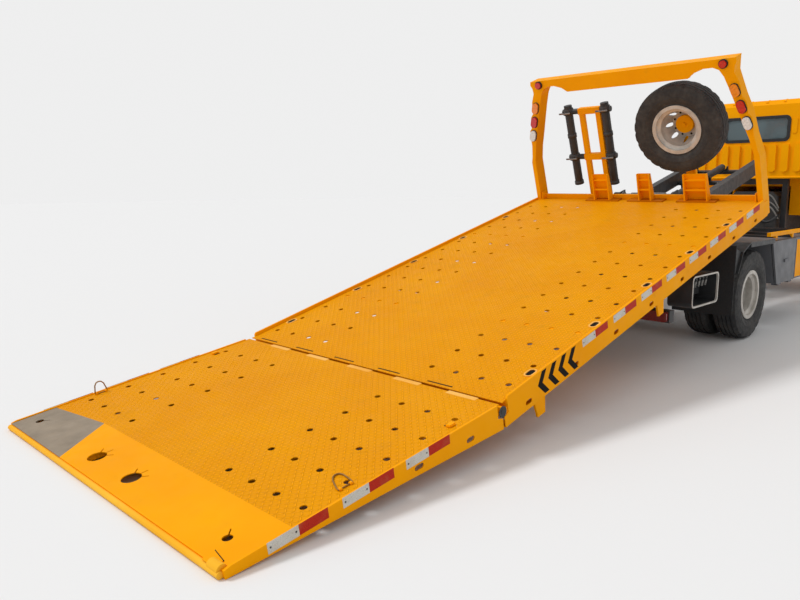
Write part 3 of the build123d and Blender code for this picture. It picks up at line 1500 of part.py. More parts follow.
with BuildPart() as front_carriers:
    spare_v = (spare_y - carrier_half, spare_y + carrier_half)
    front_arm(spare_face_x + post_depth, spare_v)
    block((spare_face_x + seat_gap, spare_face_x + post_depth), spare_v, (carrier_z[0], spare_height + 60))
    rod((spare_face_x - 60, spare_y, spare_height), (spare_face_x + 20, spare_y, spare_height), 16)
    clamp_end = (spare_face_x - disc_wall - seat_gap, spare_y, spare_height)
    rod((spare_face_x - 45, spare_y, spare_height), clamp_end, clamp_radius)
    for post_v in (stand_v - stand_half, stand_v + stand_half - stand_tube):
        front_arm(stand_x + 20, (post_v, post_v + stand_tube))
        block((stand_x - 20, stand_x + 20), (post_v, post_v + stand_tube), (carrier_z[0], stand_height - 10))
    for bar_z in (stand_height - stand_bar, stand_mid_z - stand_bar / 2):
        bar_v = (stand_v - stand_half - 5, stand_v + stand_half + 5)
        block((stand_x - 30, stand_x + 30), bar_v, (bar_z, bar_z + stand_bar))
keep("front_carriers", front_carriers.part, head_plane)

arm_radius = 40.0
arm_top = 930.0
arm_table = (
    # side of the stand, distance from its middle
    (-1, 165.0),
    (1, 240.0),
)
with BuildPart() as stowed_arms:
    for side, offset_v in arm_table:
        arm_v = stand_v + side * offset_v
        rod((stand_x, arm_v, 100), (stand_x, arm_v, arm_top), arm_radius)
        for sleeve_z in (stand_mid_z, stand_height - stand_bar / 2):
            sleeve_from = stand_v + side * (stand_half + 5 + seat_gap)
            rod((stand_x, sleeve_from, sleeve_z), (stand_x, arm_v + side * 60, sleeve_z), 28)
keep("stowed_arms", stowed_arms.part, head_plane)

# Spare wheel on its post, dish facing the tail
spare_plane = Plane(head_plane.location * Location((spare_x, spare_y, spare_height), (0, 0, 90)))
with BuildPart() as spare_tyre:
    tyre_ring(0)
keep("spare_tyre", spare_tyre.part, spare_plane)

with BuildPart() as spare_rim:
    rim_ring(0, 1)
keep("spare_rim", spare_rim.part, spare_plane)

# Winch on a shelf ahead of the deck's front edge
winch_u = deck_front_u + 130.0
winch_w = deck_top_w - 30.0
winch_half = 260.0
drum_radius_small = 42.0
flange_radius = 62.0
axle_small = 14.0
winch_plate = 12.0
with BuildPart() as winch_frame:
    shelf_v = (-winch_half - 90, winch_half + 90)
    shelf_w = winch_w - 85.0
    block((deck_front_u + seat_gap, winch_u + 90), shelf_v, (shelf_w, shelf_w + winch_plate))
    block((deck_front_u + seat_gap, deck_front_u + winch_plate), shelf_v, (shelf_w, deck_top_w - 6))
    for cheek_v in (-winch_half - 20, winch_half + 8):
        cheek = (cheek_v, cheek_v + winch_plate)
        block((winch_u - 70, winch_u + 70), cheek, (shelf_w + 2, winch_w + 65))
    rod((winch_u, winch_half + 18, winch_w), (winch_u, winch_half + 88, winch_w), 55)
    rod((winch_u, -winch_half - 30, winch_w), (winch_u, winch_half + 20, winch_w), axle_small)
keep("winch_frame", winch_frame.part, tilt_plane)

with BuildPart() as winch_drum:
    rod((winch_u, -winch_half, winch_w), (winch_u, winch_half, winch_w), drum_radius_small)
    for flange_v in (-winch_half, winch_half - 8):
        rod((winch_u, flange_v, winch_w), (winch_u, flange_v + 8, winch_w), flange_radius)
    rod(
        (winch_u, -winch_half - 1, winch_w),
        (winch_u, winch_half + 1, winch_w),
        axle_small + 1,
        mode=Mode.SUBTRACT,
    )
keep("winch_drum", winch_drum.part, tilt_plane)

os.makedirs("parts", exist_ok=True)
for name, piece in pieces.items():
    export_step(piece, f"parts/{name}.step")
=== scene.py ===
import json
from math import cos, pi, radians, sin

import bmesh
import bpy
from mathutils import Matrix, Vector


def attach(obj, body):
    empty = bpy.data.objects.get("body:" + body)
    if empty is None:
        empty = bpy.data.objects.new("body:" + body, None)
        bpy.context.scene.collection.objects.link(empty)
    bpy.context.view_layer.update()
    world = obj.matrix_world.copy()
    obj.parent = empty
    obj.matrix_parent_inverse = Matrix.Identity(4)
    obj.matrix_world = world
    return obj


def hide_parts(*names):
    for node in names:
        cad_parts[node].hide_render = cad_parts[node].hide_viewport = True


# Looks of a flatbed tow truck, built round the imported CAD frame. Lengths are in metres.
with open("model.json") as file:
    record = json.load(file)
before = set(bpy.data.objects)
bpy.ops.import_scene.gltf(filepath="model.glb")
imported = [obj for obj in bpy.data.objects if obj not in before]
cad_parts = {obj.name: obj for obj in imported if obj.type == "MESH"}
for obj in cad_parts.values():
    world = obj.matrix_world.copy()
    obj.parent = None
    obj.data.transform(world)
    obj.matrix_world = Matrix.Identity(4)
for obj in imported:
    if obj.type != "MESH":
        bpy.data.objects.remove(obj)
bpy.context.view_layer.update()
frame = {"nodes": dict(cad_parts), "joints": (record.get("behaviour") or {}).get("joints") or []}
nodes = frame["nodes"]
joints = {joint["name"]: joint for joint in frame["joints"]}
# Signs of y and their labels, right side first
SIDES = ((-1, "right"), (1, "left"))

# The deck's ends and top, counted from the tilt pin along the tilted frame
DECK_FRONT = 0.950
DECK_TOP = 0.280
DECK_LENGTH = 3.905
HALF_DECK = 1.150
SEAM = DECK_FRONT - DECK_LENGTH
# The tail's top and tip, counted from its own pin along the tail
TAIL_TOP = 0.045
TAIL_TIP = -1.665
# The floor sheets: their thickness and what they leave free at the seam, the front sill and the sides
SHEET = 0.005
SEAM_GAP = 0.014
SILL_DEPTH = 0.130
SIDE_GAP = 0.0125
SHEET_HALF = HALF_DECK - SIDE_GAP

# Planes of the tilted parts, nose up: from the pins, the tops of deck and tail, and the headboard's foot
TILT = radians(14.5)
TAIL_PITCH = radians(8.55)
HEAD_LEAN = radians(5.8)
GROUND = Matrix.Identity(4)
tilt_plane = Matrix.Translation(joints["tilt"]["pos_m"]) @ Matrix.Rotation(-TILT, 4, "Y")
tail_plane = Matrix.Translation(joints["tail_fold"]["pos_m"]) @ Matrix.Rotation(-TAIL_PITCH, 4, "Y")
deck_plane = tilt_plane @ Matrix.Translation((0, 0, DECK_TOP))
tail_top_plane = tail_plane @ Matrix.Translation((0, 0, TAIL_TOP))
head_foot = Matrix.Translation((DECK_FRONT, 0, DECK_TOP))
head_plane = tilt_plane @ head_foot @ Matrix.Rotation(-HEAD_LEAN, 4, "Y")
# Turns a flat drawing so that it faces the tail, its x to the right and its y up
FACE_REAR = Matrix(((0, 0, -1, 0), (-1, 0, 0, 0), (0, 1, 0, 0), (0, 0, 0, 1)))
# Turns a flat drawing so that it faces right (-Y), its x forward and its y up
FACE_RIGHT = Matrix(((1, 0, 0, 0), (0, 0, -1, 0), (0, 1, 0, 0), (0, 0, 0, 1)))
# The same, facing left (+Y), its x backward
FACE_LEFT = Matrix(((-1, 0, 0, 0), (0, 0, 1, 0), (0, 1, 0, 0), (0, 0, 0, 1)))
# The same, facing forward, its x to the left
FACE_FRONT = Matrix(((0, 0, 1, 0), (1, 0, 0, 0), (0, 1, 0, 0), (0, 0, 0, 1)))

# The cab's walls: the rear one leans forward, the windscreen back and the upper sides inward
CAB_REAR = 3.2276
CAB_HALF = 1.020
REAR_FOOT = 1.460
WAIST = 1.560
SCREEN_FOOT = (5.1696, 0, WAIST)
REAR_LEAN = 0.0111
SCREEN_LEAN = radians(20.2)
SIDE_LEAN = radians(5.42)
rear_wall = Matrix.Translation((CAB_REAR, 0, REAR_FOOT)) @ Matrix.Rotation(REAR_LEAN, 4, "Y") @ FACE_REAR
screen_plane = Matrix.Translation(SCREEN_FOOT) @ Matrix.Rotation(-SCREEN_LEAN, 4, "Y") @ FACE_FRONT
SIDE_WALLS = {
    "left": Matrix.Translation((0, CAB_HALF, WAIST)) @ Matrix.Rotation(SIDE_LEAN, 4, "X") @ FACE_LEFT,
    "right": Matrix.Translation((0, -CAB_HALF, WAIST)) @ Matrix.Rotation(-SIDE_LEAN, 4, "X") @ FACE_RIGHT,
}


class Shader:
    """One procedural material, with short ways to add its nodes."""

    def __init__(self, name):
        self.material = bpy.data.materials.new(name)
        self.material.use_nodes = True
        self.tree = self.material.node_tree
        self.bsdf = self.tree.nodes["Principled BSDF"]
        self.place = self.node("ShaderNodeTexCoord").outputs["Object"]

    def join(self, source, socket):
        """Feeds a socket from another node or with a constant."""
        if hasattr(source, "links"):
            self.tree.links.new(source, socket)
        elif socket.type == "RGBA":
            socket.default_value = (*source, 1)
        else:
            socket.default_value = source

    def node(self, kind, links=None, **values):
        """Adds a node, sets its values and feeds its sockets."""
        made = self.tree.nodes.new(kind)
        for key, value in values.items():
            setattr(made, key, value)
        for socket, source in (links or {}).items():
            self.join(source, made.inputs[socket])
        return made

    def math(self, operation, a, b=0.0):
        """One step of arithmetic."""
        return self.node("ShaderNodeMath", {0: a, 1: b}, operation=operation).outputs[0]

    def noise(self, scale, detail=4.0, roughness=0.55):
        """Cloudy noise from 0 to 1 in the piece's own coordinates."""
        links = {"Vector": self.place, "Scale": scale, "Detail": detail, "Roughness": roughness}
        return self.node("ShaderNodeTexNoise", links).outputs["Fac"]

    def ramp(self, factor, low, high, low_value=0.0, high_value=1.0):
        """Stretches what lies between low and high over two other values, and clips the rest."""
        limits = {"From Min": low, "From Max": high, "To Min": low_value, "To Max": high_value}
        return self.node("ShaderNodeMapRange", {"Value": factor, **limits}, clamp=True).outputs[0]

    def mix(self, factor, a, b):
        """Mixes two colours, which a Mix node takes at inputs 6 and 7 and gives out at output 2."""
        return self.node("ShaderNodeMix", {0: factor, 6: a, 7: b}, data_type="RGBA").outputs[2]

    def surface(self, **values):
        """Sets inputs of the Principled shader; an underscore in a name stands for a space."""
        for name, source in values.items():
            self.join(source, self.bsdf.inputs[name.replace("_", " ")])

    def bump(self, height, distance, strength=1.0):
        """Roughens the surface's normal by a height pattern."""
        made = self.node("ShaderNodeBump", {"Height": height, "Distance": distance, "Strength": strength})
        self.join(made.outputs[0], self.bsdf.inputs["Normal"])


# Colours of the body paint: fresh, faded and dusty, and darker in the hollows between the checker plate's
# bars as painted shade
YELLOW = (0.97, 0.390, 0.0010)
YELLOW_WORN = (0.91, 0.340, 0.0012)
DUST = (0.62, 0.27, 0.012)
HOLLOW_SHADE = (0.30, 0.10, 0.001)


def worn_paint(name, base, worn, gloss=0.42, dust_amount=0.3):
    """Sprayed paint with slow changes of tone, fine orange peel and dust in patches."""
    shader = Shader(name)
    tone = shader.ramp(shader.noise(1.6, 3), 0.35, 0.7)
    dirt = shader.ramp(shader.noise(7.0, 8, 0.65), 0.56, 0.8, 0.0, dust_amount)
    shader.colour = shader.mix(dirt, shader.mix(tone, base, worn), DUST)
    shader.surface(Base_Color=shader.colour)
    shader.surface(Roughness=shader.ramp(shader.noise(11.0, 5), 0.3, 0.75, gloss - 0.08, gloss + 0.16))
    shader.surface(Specular_IOR_Level=0.03)
    shader.bump(shader.noise(260.0, 2), 0.0004, 0.35)
    return shader


def checker_plate(name):
    """Painted checker plate: lens-shaped bars, turned a quarter from one square to the next."""
    shader = worn_paint(name, YELLOW, YELLOW_WORN, 0.45, 0.4)
    pitch = 0.025
    bar_length = 0.82
    bar_width = 0.26
    parts = shader.node("ShaderNodeSeparateXYZ", {0: shader.place})
    along = shader.math("DIVIDE", parts.outputs[0], pitch)
    across = shader.math("DIVIDE", parts.outputs[1], pitch)
    cells = shader.math("ADD", shader.math("FLOOR", along), shader.math("FLOOR", across))
    odd = shader.math("MODULO", shader.math("ABSOLUTE", cells), 2.0)
    sign = shader.math("SUBTRACT", shader.math("MULTIPLY", odd, 2.0), 1.0)
    local_a = shader.math("SUBTRACT", shader.math("FRACT", along), 0.5)
    local_b = shader.math("SUBTRACT", shader.math("FRACT", across), 0.5)
    turned = shader.math("MULTIPLY", local_b, sign)
    along_bar = shader.math("ADD", local_a, turned)
    across_bar = shader.math("SUBTRACT", local_a, turned)
    long_part = shader.math("POWER", shader.math("DIVIDE", along_bar, bar_length), 2.0)
    short_part = shader.math("POWER", shader.math("DIVIDE", across_bar, bar_width), 2.0)
    bar = shader.math("SUBTRACT", 1.0, shader.math("ADD", long_part, short_part))
    relief = shader.ramp(bar, 0.0, 0.55)
    # The flat between the bars is darkened: painted shade in the hollows
    hollow_shade = shader.mix(0.24, shader.colour, HOLLOW_SHADE)
    shader.surface(Base_Color=shader.mix(relief, hollow_shade, shader.colour))
    shader.bump(relief, 0.005, 0.9)
    return shader


def plain(name, base, gloss, metal=0.0, variation=0.25, scale=18.0, bump=0.0003):
    """A surface of one colour whose tone and gloss vary slightly."""
    shader = Shader(name)
    dark = tuple(channel * (1 - variation) for channel in base)
    tone = shader.ramp(shader.noise(scale, 6), 0.3, 0.75)
    shader.surface(Base_Color=shader.mix(tone, base, dark), Metallic=metal)
    low = max(0.04, gloss - 0.1)
    high = min(1.0, gloss + 0.12)
    shader.surface(Roughness=shader.ramp(shader.noise(scale * 1.7, 4), 0.3, 0.75, low, high))
    shader.bump(shader.noise(scale * 22, 3), bump, 0.5)
    return shader


def rubber(name):
    """Tyre rubber, dusty, with fine scuffs."""
    shader = Shader(name)
    dust = shader.ramp(shader.noise(9.0, 8, 0.7), 0.42, 0.8, 0.0, 0.5)
    shader.surface(Base_Color=shader.mix(dust, (0.022, 0.022, 0.023), (0.11, 0.10, 0.085)))
    shader.surface(Roughness=shader.ramp(shader.noise(30.0, 5), 0.3, 0.7, 0.62, 0.88))
    shader.bump(shader.noise(420.0, 4), 0.0006, 0.5)
    return shader


def glass(name, tint):
    """Dark tinted window glass."""
    shader = Shader(name)
    shader.surface(Base_Color=tint, IOR=1.5, Transmission_Weight=0.55)
    shader.surface(Roughness=shader.ramp(shader.noise(6.0, 3), 0.3, 0.7, 0.03, 0.1))
    return shader


def lens(name, base):
    """Moulded lamp lens: fine ribs under a glossy skin."""
    shader = Shader(name)
    dark = tuple(channel * 0.7 for channel in base)
    shader.surface(Base_Color=shader.mix(shader.ramp(shader.noise(60.0, 2), 0.3, 0.7), base, dark))
    shader.surface(Roughness=0.18, Coat_Weight=0.6, Emission_Color=base, Emission_Strength=0.05)
    wave = shader.node("ShaderNodeTexWave", {"Vector": shader.place, "Scale": 90.0}, bands_direction="Y")
    shader.bump(wave.outputs["Fac"], 0.0008, 0.5)
    return shader


def tape(name, base):
    """Retro-reflective tape with its honeycomb of cells, dirty in patches."""
    shader = Shader(name)
    links = {"Vector": shader.place, "Scale": 160.0}
    cells = shader.node("ShaderNodeTexVoronoi", links, feature="DISTANCE_TO_EDGE")
    edge = shader.ramp(cells.outputs["Distance"], 0.02, 0.1)
    dirt = shader.ramp(shader.noise(14.0, 6), 0.5, 0.8, 0.0, 0.3)
    dark = tuple(channel * 0.75 for channel in base)
    shader.surface(Base_Color=shader.mix(dirt, shader.mix(edge, dark, base), (0.36, 0.22, 0.10)))
    shader.surface(Roughness=0.4, Specular_IOR_Level=0.08)
    return shader


yellow = worn_paint("yellow_paint", YELLOW, YELLOW_WORN)
yellow_smooth = worn_paint("yellow_smooth", YELLOW, YELLOW_WORN, 0.38, 0.25)
yellow_deck = checker_plate("yellow_checker_plate")
# Darker yellow for the front brackets' foot plates: painted shade
yellow_shade = worn_paint("yellow_painted_shade", (0.56, 0.170, 0.002), (0.44, 0.120, 0.002), 0.5, 0.3)
ring_paint = plain("ring_paint", (0.36, 0.17, 0.02), 0.5, metal=0.2, variation=0.35, scale=40.0)
bare_grey = plain("bare_plate", (0.330, 0.265, 0.195), 0.6, variation=0.3, scale=8.0)
bare_grey.surface(Specular_IOR_Level=0.15)
# Pale grey for the lever knobs and the hoses behind the cab; the hoses are real, their pale grey a painted
# highlight
pale_grey_and_highlight = plain("pale_grey_and_highlight", (0.30, 0.29, 0.27), 0.45, variation=0.3, scale=30.0)
box_inside = plain("box_inside", (0.150, 0.135, 0.095), 0.6, variation=0.3, scale=20.0)
chassis_black = plain("chassis_black", (0.030, 0.031, 0.033), 0.5, variation=0.4, scale=12.0)
grey_paint = plain("grey_paint", (0.135, 0.138, 0.150), 0.5, scale=7.0)
cast_iron = plain("cast_iron", (0.075, 0.072, 0.070), 0.6, metal=0.4, variation=0.4, scale=14.0)
steel = plain("worn_steel", (0.34, 0.335, 0.33), 0.38, metal=0.9, variation=0.35, scale=25.0)
chrome = plain("chrome_rod", (0.72, 0.73, 0.75), 0.12, metal=1.0, variation=0.08, scale=20.0, bump=0.0001)
aluminium = plain("tank_aluminium", (0.52, 0.53, 0.55), 0.34, metal=0.9, variation=0.2, scale=9.0)
rim_paint = plain("rim_paint", (0.62, 0.585, 0.53), 0.45, metal=0.1, variation=0.4, scale=12.0)
black_plastic = plain("black_plastic", (0.025, 0.025, 0.027), 0.55, variation=0.3, scale=25.0)
trim_rubber = plain("trim_rubber", (0.016, 0.016, 0.017), 0.7, variation=0.3, scale=40.0)
fabric = plain("seat_fabric", (0.05, 0.052, 0.06), 0.85, variation=0.4, scale=120.0, bump=0.001)
# Black for the arrows' print, and painted shade for slots, gaps and holes drawn as flat black sheets
black_print_and_shade = plain("black_print_and_shade", (0.012, 0.011, 0.010), 0.7, variation=0.3, scale=20.0)
black_print_and_shade.surface(Specular_IOR_Level=0.08)
tyre_rubber = rubber("tyre_rubber")
window = glass("cab_glass", (0.20, 0.27, 0.29))
red_lens = lens("red_lens", (0.62, 0.012, 0.012))
# The red lens darkened for the tail lamps: painted shade
shaded_red_lens = lens("shaded_red_lens", (0.17, 0.010, 0.008))
amber_lens = lens("amber_lens", (0.95, 0.27, 0.012))
clear_lens = lens("clear_lens", (0.82, 0.82, 0.80))
red_tape = tape("red_tape", (0.50, 0.025, 0.010))
white_tape = tape("white_tape", (0.66, 0.63, 0.56))
pale_worn = worn_paint("pale_worn_yellow", (0.93, 0.52, 0.13), (0.84, 0.36, 0.03), 0.4, 0.3)
# Paler yellow for the tail's tip bar and its collar: painted highlight along the bar
bar_highlight = worn_paint("tip_bar_painted_highlight", (0.94, 0.50, 0.040), (0.88, 0.41, 0.015), 0.4, 0.3)
hose = plain("hose_rubber", (0.02, 0.02, 0.021), 0.6, variation=0.35, scale=60.0)


def seat(obj, shader, body, smooth=False):
    """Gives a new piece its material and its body."""
    obj.data.materials.append(shader.material)
    for polygon in obj.data.polygons:
        polygon.use_smooth = smooth
    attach(obj, body)


def linked(name, mesh, plane):
    """A new object with a mesh, placed on a plane."""
    obj = bpy.data.objects.new(name, mesh)
    obj.matrix_world = plane
    bpy.context.collection.objects.link(obj)
    return obj


def from_bmesh(name, work, plane):
    """A new object from a worked mesh, its faces turned outwards."""
    mesh = bpy.data.meshes.new(name)
    bmesh.ops.recalc_face_normals(work, faces=work.faces[:])
    work.to_mesh(mesh)
    work.free()
    return linked(name, mesh, plane)


def blocks(name, corners, plane=GROUND, bevel=0.0):
    """Boxes between pairs of opposite corners, as one mesh."""
    work = bmesh.new()
    for low, high in corners:
        size = Vector(high) - Vector(low)
        spot = Matrix.Translation((Vector(low) + Vector(high)) / 2) @ Matrix.Diagonal((*size, 1))
        bmesh.ops.create_cube(work, size=1, matrix=spot)
    if bevel:
        bmesh.ops.bevel(work, geom=work.edges[:], offset=bevel, segments=2, affect="EDGES")
    return from_bmesh(name, work, plane)


def rods(name, spans, plane=GROUND, sides=16):
    """Round or many-sided bars, each given by two ends and a radius, as one mesh."""
    work = bmesh.new()
    for start, end, radius in spans:
        axis = Vector(end) - Vector(start)
        turn = axis.to_track_quat("Z", "Y").to_matrix().to_4x4()
        spot = Matrix.Translation((Vector(start) + Vector(end)) / 2) @ turn
        sizes = {"radius1": radius, "radius2": radius, "depth": axis.length}
        bmesh.ops.create_cone(work, cap_ends=True, segments=sides, matrix=spot, **sizes)
    return from_bmesh(name, work, plane)


def curve_mesh(name, curve):
    """The mesh that a curve draws."""
    drawn = bpy.data.objects.new(name + "_curve", curve)
    mesh = bpy.data.meshes.new_from_object(drawn)
    bpy.data.objects.remove(drawn)
    mesh.name = name
    return mesh


def plate(name, outline, holes, thickness, plane, bevel=0.0):
    """A flat plate with holes, its top face on the plane and its body below it."""
    curve = bpy.data.curves.new(name, "CURVE")
    curve.dimensions = "2D"
    curve.fill_mode = "BOTH"
    curve.extrude = thickness / 2
    for points in (outline, *holes):
        spline = curve.splines.new("POLY")
        spline.points.add(len(points) - 1)
        for spot, (x, y) in zip(spline.points, points):
            spot.co = (x, y, 0, 1)
        spline.use_cyclic_u = True
    mesh = curve_mesh(name, curve)
    mesh.transform(Matrix.Translation((0, 0, -thickness / 2)))
    obj = linked(name, mesh, plane)
    if bevel:
        edge = obj.modifiers.new("edge", "BEVEL")
        edge.width = bevel
        edge.segments = 2
    return obj


def pipe(name, points, radius, plane=GROUND, closed=False):
    """A pipe, bar or hose bent through a few points, or a closed ring with corners at them."""
    curve = bpy.data.curves.new(name, "CURVE")
    curve.dimensions = "3D"
    curve.bevel_depth = radius
    curve.bevel_resolution = 2
    curve.resolution_u = 6
    curve.use_fill_caps = True
    spline = curve.splines.new("POLY" if closed else "NURBS")
    spline.points.add(len(points) - 1)
    for spot, point in zip(spline.points, points):
        spot.co = (*point, 1)
    spline.order_u = 3
    spline.use_endpoint_u = not closed
    spline.use_cyclic_u = closed
    return linked(name, curve_mesh(name, curve), plane)


def raised(plane, height):
    """The same plane moved along its own upward direction."""
    return plane @ Matrix.Translation((0, 0, height))


def circle(x, y, radius, count=14):
    """Points of a circle."""
    angles = [2 * pi * step / count for step in range(count)]
    return [(x + radius * cos(angle), y + radius * sin(angle)) for angle in angles]


def stadium(x, y, length, width, turn=0.0, count=8):
    """Points of a slot with round ends, its length turned from the x axis."""
    radius = width / 2
    reach = length / 2 - radius
    points = []
    for side, start in ((1, -pi / 2), (-1, pi / 2)):
        for step in range(count + 1):
            angle = start + pi * step / count
            points.append((side * reach + radius * cos(angle), radius * sin(angle)))
    return [(x + a * cos(turn) - b * sin(turn), y + a * sin(turn) + b * cos(turn)) for a, b in points]


def rectangle(x0, x1, y0, y1):
    """Points of a rectangle."""
    return [(x0, y0), (x1, y0), (x1, y1), (x0, y1)]


def rounded(x0, x1, y0, y1, radius, count=6):
    """Points of a rectangle with round corners."""
    corners = ((x1, y1, 0), (x0, y1, 1), (x0, y0, 2), (x1, y0, 3))
    points = []
    for x, y, quarter in corners:
        middle_x = x - radius if x == x1 else x + radius
        middle_y = y - radius if y == y1 else y + radius
        for step in range(count + 1):
            angle = (quarter + step / count) * pi / 2
            points.append((middle_x + radius * cos(angle), middle_y + radius * sin(angle)))
    return points


def dress(shader, *names):
    """Gives CAD nodes that stay in view a full material."""
    for name in names:
        mesh = nodes[name].data
        mesh.materials.clear()
        mesh.materials.append(shader.material)


def dress_where(shader, name, test):
    """Gives the faces of a CAD node whose middle and direction pass a test another material."""
    mesh = nodes[name].data
    mesh.materials.append(shader.material)
    for polygon in mesh.polygons:
        if test(polygon.center, polygon.normal):
            polygon.material_index = len(mesh.materials) - 1


# Depth within which a face counts as lying on a surface
SKIN = 0.001
# Where other materials begin: over the deck, over the ground, by direction and out from the middle
BRACKET_FOOT = 0.013
MUDGUARD_TOP = 0.87
FACING_UP = 0.9
PAINTED_RAIL_END = 0.975


def dress_frame():
    """Materials of the CAD nodes that stay in view, with another one on some of their faces."""
    dress(yellow, "deck_frame", "deck_rails", "tail_frame", "headboard", "front_brackets", "front_carriers")
    dress(yellow, "cab_shell", "door_left", "door_right", "box_rails", "bumper")
    dress(chassis_black, "chassis_frame", "sub_frame", "tilt_frame", "slide_cylinder", "lift_barrels")
    dress(chassis_black, "winch_frame", "underrun_bar", "air_tanks", "stowed_arms")
    dress(cast_iron, "rear_axle", "front_axle", "leaf_springs", "engine", "knuckle_left", "knuckle_right")
    dress(grey_paint, "toolbox_right", "toolbox_door", "side_box_right")
    dress(chassis_black, "mudguards", "control_box")
    dress(trim_rubber, "mudflaps")
    dress(aluminium, "fuel_tank")
    dress(black_plastic, "battery_box", "grille", "dashboard", "mirrors")
    dress(chrome, "slide_rod", "lift_rods")
    dress(steel, "winch_drum")
    dress(window, "cab_glass", "door_glass_left", "door_glass_right")
    # Tail lamps take the darkened red lens: painted shade
    dress(shaded_red_lens, "tail_lamps")
    dress(clear_lens, "headlamps")
    dress(fabric, "seats")
    dress(rim_paint, "spare_rim", "rim_front_left", "rim_front_right", "rims_rear_left", "rims_rear_right")
    into_deck = deck_plane.inverted()
    into_tail = tail_plane.inverted()
    # The brackets' foot plates take the darker yellow as painted shade
    dress_where(
        yellow_shade,
        "front_brackets",
        lambda middle, facing: (into_deck @ middle).z < BRACKET_FOOT,
    )
    dress_where(yellow_deck, "deck_frame", lambda middle, facing: (into_deck @ middle).z > -SKIN)
    # The tip bar takes the paler yellow: painted highlight
    dress_where(bar_highlight, "tail_frame", lambda middle, facing: (into_tail @ middle).x < TAIL_TIP - SKIN)
    dress_where(
        grey_paint,
        "mudguards",
        lambda middle, facing: facing.z > FACING_UP and middle.z > MUDGUARD_TOP,
    )
    dress_where(chassis_black, "box_rails", lambda middle, facing: abs(middle.y) < PAINTED_RAIL_END)


# Deck and tail plates with their rows of small round holes
FIRST_DECK_ROW = SEAM + 0.191
FIRST_TAIL_ROW = TAIL_TIP + 0.436
HOLE_PITCH = 0.240
HOLE_COLUMNS = (0.497, 0.683, 0.869, 1.055)
HOLE_RADIUS = 0.018
DECK_ROWS = 15
TAIL_ROWS = 5


def hole_grid(first, rows):
    """Round holes in rows along x, on both sides of the middle."""
    holes = []
    for row in range(rows):
        for column in HOLE_COLUMNS:
            for side in (-1, 1):
                holes.append(circle(first + row * HOLE_PITCH, side * column, HOLE_RADIUS))
    return holes


def deck_plate():
    """The deck's checker plate."""
    outline = rectangle(SEAM + SEAM_GAP, DECK_FRONT - SILL_DEPTH, -SHEET_HALF, SHEET_HALF)
    sheet = plate("deck_sheet", outline, hole_grid(FIRST_DECK_ROW, DECK_ROWS), SHEET, deck_plane)
    seat(sheet, yellow_deck, "deck")
    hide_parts("deck_floor")


def keyhole(x, y, radius, slots, reach, width=0.0065, count=24):
    """Points of a round hole with narrow slots running out of it at some of its steps."""
    points = []
    for step in range(count):
        angle = 2 * pi * step / count
        spots = [(radius, angle)]
        if step in slots:
            near = width / radius / 2
            far = width / reach / 2
            spots = [(radius, angle - near), (reach, angle - far)]
            spots += [(reach, angle + far), (radius, angle + near)]
        points += [(x + away * cos(turn), y + away * sin(turn)) for away, turn in spots]
    return points


def tail_plates():
    """The tail's checker plate, the smooth strip at its tip and a patch worn bare at the left corner."""
    tip = TAIL_TIP
    half = SHEET_HALF
    smooth_end = tip + 0.32
    bare_end = tip + 0.255
    bend = (tip + 0.325, 0.61)
    edge = (tip, 0.40)
    checker = [(smooth_end, -half), (-SEAM_GAP, -half), (-SEAM_GAP, half), (bare_end, half), bend]
    smooth = [(tip, -half), (smooth_end, -half), bend, edge]
    bare = [edge, bend, (bare_end, half), (tip, half)]
    wide = {"radius": 0.048, "slots": (0, 3, 21), "reach": 0.085}
    narrow = {"radius": 0.023, "reach": 0.062}
    tip_holes = [
        keyhole(tip + 0.120, 0.225, **wide),
        keyhole(tip + 0.122, -0.155, **wide),
        keyhole(tip + 0.125, -0.976, slots=(3,), **narrow),
    ]
    corner_hole = [keyhole(tip + 0.115, 1.010, slots=(21,), **narrow)]
    table = (
        ("tail_checker_sheet", checker, hole_grid(FIRST_TAIL_ROW, TAIL_ROWS), yellow_deck),
        ("tail_tip_sheet", smooth, tip_holes, yellow_smooth),
        ("tail_bare_sheet", bare, corner_hole, bare_grey),
    )
    for name, outline, holes, shader in table:
        sheet = plate(name, outline, holes, SHEET, tail_top_plane)
        seat(sheet, shader, "tail")
        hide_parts("tail_floor")


# Middles of the hinge covers along the seam, and half a cover's length
HINGE_COVERS = [-0.895 + 0.41 * index for index in range(5)]
COVER_HALF = 0.102
# The hinge pin's end on each side: the rail's face, the washer's face and the pin's own end
PIN_STEPS = (1.1455, 1.1480, 1.1498)
WASHER_RADIUS = 0.031
PIN_RADIUS = 0.015


def seam():
    """Pale hinge covers flush with the tail, the open slots between them drawn as black blocks of painted
    shade, and the hinge pin's ends.
    """
    covers = [((-0.040, v - COVER_HALF, -0.003), (-0.004, v + COVER_HALF, 0.0009)) for v in HINGE_COVERS]
    seat(blocks("hinge_covers", covers, tail_top_plane, 0.0004), pale_worn, "tail")
    # The open slots are thin black blocks on the deck: painted shade
    slots = [((SEAM + 0.034, v + 0.112, 0.0), (SEAM + 0.043, v + 0.298, 0.0008)) for v in HINGE_COVERS]
    seat(blocks("hinge_slots", slots, deck_plane), black_print_and_shade, "deck")
    for side, label in SIDES:
        root, face, end = [(0, side * y, 0) for y in PIN_STEPS]
        caps = [(root, face, WASHER_RADIUS), (face, end, PIN_RADIUS)]
        seat(rods("hinge_pin_end_" + label, caps, tail_plane, 20), chassis_black, "tail")


def painted_shade_mark(name, outline):
    """A flat black sheet on the tail's top, painted shade standing in for the dark inside of the tail's
    slots and gaps.
    """
    depth = 0.0006
    lift = 0.0008
    mark = plate(name, outline, [], depth, raised(tail_top_plane, lift))
    seat(mark, black_print_and_shade, "tail")


